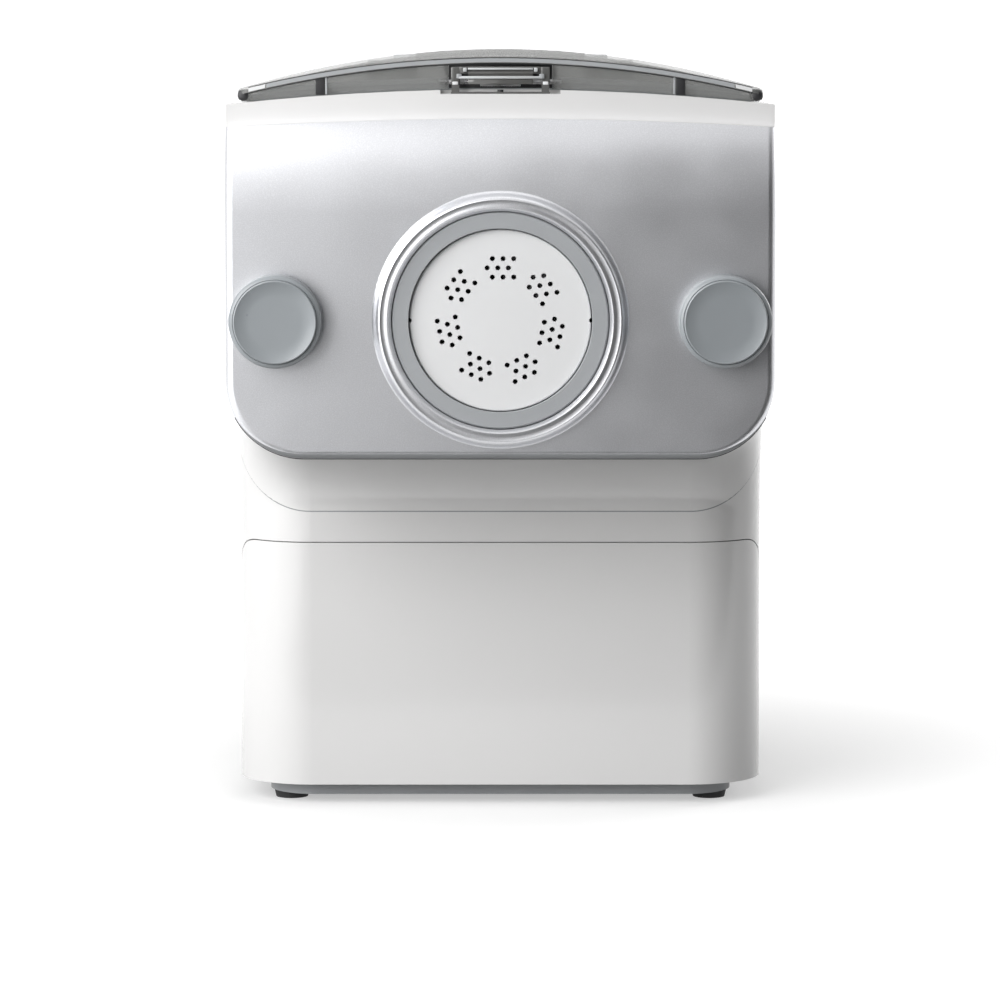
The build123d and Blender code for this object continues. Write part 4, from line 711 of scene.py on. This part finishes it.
# Grey shell painted as the shade on the panel's lower edge: it wraps the lower half of the edge rounding and
# tapers away up the corners. An arc of the rounding's radius is carried along the edge.
def makeShellShade():
    x, z, lean = upturnedLine(panel["flat"], panel["bottom"], panel["corner"], panel["shellReach"],
                              panel["shellSteps"], 2)
    out = np.stack([np.sin(lean), 0 * lean, -np.cos(lean)], -1)
    start = np.radians(panel["shellStart"] + panel["shellTaper"] * (np.abs(lean) / lean.max()) ** 2)
    share = np.linspace(0, 1, panel["shellArc"])
    turn = start[:, None] + (np.radians(panel["shellEnd"]) - start[:, None]) * share
    layers = []
    for radius in (panel["round"] + panel["shellLift"], panel["round"] - panel["shellSunk"]):
        lift = radius * np.sin(turn) - panel["round"]
        places = np.stack([x, 0 * x, z], -1)[:, None] + out[:, None] * lift[..., None]
        places[..., 1] = panel["shellY"] - radius * np.cos(turn)
        layers.append(places)
    loop = np.concatenate([layers[0], layers[1][:, ::-1]], axis=1)
    return meshPiece("panelBackShell", loop, gridFaces(*loop.shape[:2], wrapColumns=True))


dress(makePanelEdgeShade(), "dark_plastic", "panel")
dress(makeShellShade(), "inner_plastic", "panel")
dress(turnedFrom("ringFace", ringFace, 0, 1), "grey_plastic", "ring")
print("knobs, bezel, ring and panel edge made")

seam = {"z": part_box("upper_housing")[0].z, "flat": 0.0775, "radius": 0.03, "reach": 74.0, "steps": 40,
        "width": 0.0004, "depth": 0.00006, "below": 0.0004, "from": -0.3}


# Seam between the housings: level across the neck, then up round an arc at each side,
# laid on the housing as found by straight lines from the front.
def makeSeam():
    x, z = upturnedLine(seam["flat"], seam["z"], seam["radius"], seam["reach"],
                        seam["steps"], seam["steps"])[:2]
    tree = surfaceTree("lower_housing")
    y = np.array([tree.ray_cast((a, seam["from"], b - seam["below"]), (0, 1, 0))[0][1] for a, b in zip(x, z)])
    path = np.stack([x, y, z], -1)
    along = np.gradient(path, axis=0)
    along /= np.linalg.norm(along, axis=1)[:, None]
    over = np.clip((np.abs(x) - seam["flat"]) / seam["radius"], 0, 1)
    out = np.stack([np.sign(x) * over, -np.sqrt(1 - over**2), 0 * x], -1)
    across = np.cross(along, out)
    across /= np.linalg.norm(across, axis=1)[:, None]
    return ribbon("housingSeam", path, across, out, seam["width"], seam["depth"])


dress(makeSeam(), "inner_plastic", "base")
print("seam made")

digits = {
    "y": 0.0709, "width": 0.0042, "height": 0.0078, "bar": 0.0009, "gap": 0.7 * 0.0009,
    "levels": (0.30725, 0.30736),
    "parts": {"a": (0, 1, 1), "b": (1, 0.5, 0), "c": (1, -0.5, 0), "d": (0, -1, 1), "e": (-1, -0.5, 0),
              "f": (-1, 0.5, 0)},  # sideways, upwards, and one where the bar lies level
    "lit": {-0.0098: "bc", -0.0034: "abcdef", 0.0042: "abcdef", 0.0106: "abcdef"},
    "colonX": 0.0004, "colonRise": 0.0016,
}


# Display: four digits of level and upright bars and a colon, each bar a flat block a
# little proud of the window. A block's corners are its middle plus or minus its halves.
def makeDigits():
    width, height, bar, gap = (digits[key] for key in ("width", "height", "bar", "gap"))
    blocks = []
    for shift, names in digits["lit"].items():
        for sideways, upward, level in (digits["parts"][name] for name in names):
            halves = (width / 2 - gap, bar / 2) if level else (bar / 2, height / 4 - gap)
            blocks.append((shift + sideways * width / 2, digits["y"] + upward * height / 2, *halves))
    for rise in (-digits["colonRise"], digits["colonRise"]):
        blocks.append((digits["colonX"], digits["y"] + rise, bar / 2, bar / 2))
    blocks = np.array(blocks)[:, None, :]
    corners = np.array([(-1, -1), (1, -1), (1, 1), (-1, 1)])
    places = np.empty((len(blocks), 2, 4, 3))
    places[..., :2] = (blocks[..., :2] + blocks[..., 2:] * corners)[:, None]
    places[..., 2] = np.array(digits["levels"])[:, None]
    cube = np.array([(0, 1, 2, 3), (4, 5, 6, 7), (0, 1, 5, 4), (1, 2, 6, 5), (2, 3, 7, 6), (3, 0, 4, 7)])
    faces = cube + 8 * np.arange(len(blocks))[:, None, None]
    return meshPiece("displayDigits", places, faces)


dress(makeDigits(), "die_white", "base")
print("display digits made")

mark = {"width": 0.0007, "depth": 0.00005, "steps": 12, "above": 0.4, "unit": 0.001}
powerArc = np.radians(np.linspace(125, 415, 16))
# Lines of the marks, in millimetres from the button's middle.
marks = {
    "power": [np.stack([2.5 * np.cos(powerArc), 2.5 * np.sin(powerArc)], -1), [(0, 0.6), (0, 3.3)]],
    "mode": [[(-2.4, 1.6), (2.4, 1.6)], [(-2.4, 0), (2.4, 0)], [(-2.4, -1.6), (2.4, -1.6)]],
    "start": [[(-1.6, 2.3), (2.4, 0)], [(2.4, 0), (-1.6, -2.3)], [(-1.6, -2.3), (-1.6, 2.3)]],
    "minus": [[(-2.4, 0), (2.4, 0)]],
    "plus": [[(-2.4, 0), (2.4, 0)], [(0, -2.4), (0, 2.4)]],
}


# Mark on a button: a line in plan, in even steps between its points, laid on the
# button's top as found by straight lines from above.
def makeMark(button, line, body):
    line = np.asarray(line, dtype=float)
    low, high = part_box(button)
    corners = np.arange(len(line))
    steps = np.linspace(0, corners[-1], mark["steps"] * corners[-1] + 1)
    x = (low.x + high.x) / 2 + mark["unit"] * np.interp(steps, corners, line[:, 0])
    y = (low.y + high.y) / 2 + mark["unit"] * np.interp(steps, corners, line[:, 1])
    tree = surfaceTree(button)
    z = np.array([tree.ray_cast((a, b, mark["above"]), (0, 0, -1))[0][2] for a, b in zip(x, y)])
    path = np.stack([x, y, z], -1)
    along = np.gradient(path, axis=0)
    across = np.stack([-along[:, 1], along[:, 0], 0 * x], -1)
    across /= np.linalg.norm(across, axis=1)[:, None]
    up = np.broadcast_to((0, 0, 1), path.shape)
    name = f"{body}Mark{round(line[0, 0] * 10)}{round(line[0, 1] * 10)}"
    return ribbon(name, path, across, up, mark["width"], mark["depth"])


for key, lines in marks.items():
    for line in lines:
        dress(makeMark(f"{key}_button", line, f"{key}_key"), "inner_plastic", f"{key}_key")
print("button marks made")

stage = {"floor": (0.6, 0.6, 0.6), "bounce": (0.25, 0.25, 0.25), "roughness": 0.85, "specular": 0.05,
         "glow": 0.45, "glowNear": 0.12, "glowFar": 0.4, "ambient": 0.22,
         "reach": 6.0, "back": 2.2, "bend": 0.8, "bendSteps": 24}


# Floor and backdrop in one sheet: level to the bend, a quarter circle, then upright.
def makeStage():
    bend = stage["bend"]
    angle = np.linspace(0, np.pi / 2, stage["bendSteps"])
    depth = np.concatenate([[-stage["reach"]], stage["back"] - bend + bend * np.sin(angle), [stage["back"]]])
    height = np.concatenate([[0], bend - bend * np.cos(angle), [stage["reach"]]])
    x, y = np.meshgrid([-stage["reach"], stage["reach"]], depth, indexing="ij")
    places = np.stack([x, y, np.broadcast_to(height, x.shape)], -1)
    piece = meshPiece("studioFloor", places, gridFaces(*x.shape), outward=False)
    piece.data.flip_normals()
    return piece


# One where a ray comes straight from the camera or by way of a mirror or glass.
def shownRay(tree):
    path = addNode(tree, "LightPath", {})
    total = path.outputs["Is Camera Ray"]
    for label in ("Is Glossy Ray", "Is Transmission Ray"):
        either = addNode(tree, "Math", {0: total, 1: path.outputs[label]}, operation="MAXIMUM")
        total = either.outputs["Value"]
    return total


# Paper that looks white from the camera, keeps the shadow and throws less light back.
# Its glow grows with the distance from the object.
def makePaper():
    material = bpy.data.materials.new("studioPaper")
    material.use_nodes = True
    tree = material.node_tree
    shader = tree.nodes["Principled BSDF"]
    shown = shownRay(tree)
    pale = addNode(tree, "Mix", {"Factor": shown, "A": (*stage["bounce"], 1), "B": (*stage["floor"], 1)},
                   data_type="RGBA")
    coords = addNode(tree, "TexCoord", {}).outputs["Object"]
    distance = addNode(tree, "VectorMath", {0: coords}, operation="LENGTH")
    level = addNode(tree, "MapRange", {"Value": distance.outputs["Value"], "From Min": stage["glowNear"],
                                       "From Max": stage["glowFar"], "To Min": stage["glow"], "To Max": 1.0})
    glow = addNode(tree, "Math", {0: shown, 1: level.outputs["Result"]}, operation="MULTIPLY")
    tree.links.new(pale.outputs["Result"], shader.inputs["Base Color"])
    tree.links.new(glow.outputs["Value"], shader.inputs["Emission Strength"])
    shader.inputs["Emission Color"].default_value = (1, 1, 1, 1)
    shader.inputs["Roughness"].default_value = stage["roughness"]
    shader.inputs["Specular IOR Level"].default_value = stage["specular"]
    return material


floor = makeStage()
floor.data.materials.append(makePaper())

card = {"left": -0.05, "right": 1.9, "far": -2.0, "turned": 1.2, "top": 1.5, "near": -0.3, "spread": 0.3,
        "foot": 0.01, "tone": (0.03, 0.03, 0.03)}


# Dark card beside the lens, an upright sheet and a level one: satin faces show it as a
# fall from left to right.
def makeCard():
    left, right, far, near, foot = (card[key] for key in ("left", "right", "far", "near", "foot"))
    places = [(left, far, foot), (right, far + card["turned"], foot),
              (right, far + card["turned"], card["top"]), (left, far, card["top"]),
              (left - card["spread"], near, foot), (right, near, foot)]
    piece = meshPiece("studioCard", places, np.array([[0, 1, 2, 3], [0, 4, 5, 1]]), outward=False)
    material = bpy.data.materials.new("blackCard")
    material.use_nodes = True
    material.node_tree.nodes["Principled BSDF"].inputs["Base Color"].default_value = (*card["tone"], 1)
    piece.data.materials.append(material)
    piece.visible_camera = False
    piece.visible_diffuse = False
    piece.visible_shadow = False
    return piece


makeCard()

world = bpy.data.worlds.new("studioLight")
bpy.context.scene.world = world
world.use_nodes = True
backdrop = world.node_tree.nodes["Background"]
ambient = addNode(world.node_tree, "MapRange", {"Value": shownRay(world.node_tree),
                                                "To Min": stage["ambient"], "To Max": 1.0})
world.node_tree.links.new(ambient.outputs["Result"], backdrop.inputs["Strength"])
backdrop.inputs["Color"].default_value = (1, 1, 1, 1)

lamps = {
    "keyLeft": {"place": (-0.75, -0.78, 0.62), "aim": (0, -0.1, 0.15), "size": (1.2, 1.0), "power": 16.1},
    "fillRight": {"place": (1.7, -1.6, 0.7), "aim": (0, -0.1, 0.17), "size": (0.8, 1.2), "power": 0.3},
    "backRight": {"place": (1.1, 0.9, 0.7), "aim": (0, 0, 0.17), "size": (0.8, 0.8), "power": 8.0},
    "topSoft": {"place": (0, 0.1, 1.6), "aim": (0, 0, 0.2), "size": (1.2, 1.0), "power": 3.0},
}


# An area lamp that faces its aim: its local -Z is turned along the line to it.
def addLamp(name, place, aim, size, power):
    light = bpy.data.lights.new(name, "AREA")
    light.shape = "RECTANGLE"
    light.size, light.size_y = size
    light.energy = power
    lamp = bpy.data.objects.new(name, light)
    bpy.context.scene.collection.objects.link(lamp)
    gaze = np.array(aim) - np.array(place)
    azimuth = math.atan2(gaze[0], gaze[1])
    elevation = math.atan2(gaze[2], math.hypot(gaze[0], gaze[1]))
    lamp.location = place
    lamp.rotation_euler = (math.pi / 2 + elevation, 0, -azimuth)


for name, values in lamps.items():
    addLamp(name, **values)

# Camera: distance and height in metres, pitch in degrees, the rest in the frame's pixels.
view = {"distance": 1.85, "height": 0.31, "pitch": 5.5, "frame": 1000, "focal": 4340.0,
        "middleX": 500.4, "middleY": 463.0}
cameraData = bpy.data.cameras.new("frontCamera")
cameraData.lens = view["focal"] / view["frame"] * cameraData.sensor_width
cameraData.shift_x = 0.5 - view["middleX"] / view["frame"]
cameraData.shift_y = view["middleY"] / view["frame"] - 0.5
camera = bpy.data.objects.new("frontCamera", cameraData)
bpy.context.scene.collection.objects.link(camera)
camera.location = (0, -view["distance"], view["height"])
camera.rotation_euler = (math.radians(90 - view["pitch"]), 0, 0)
bpy.context.scene.camera = camera
bpy.context.scene.view_settings.view_transform = "Standard"

print("stage, lamps and camera set")
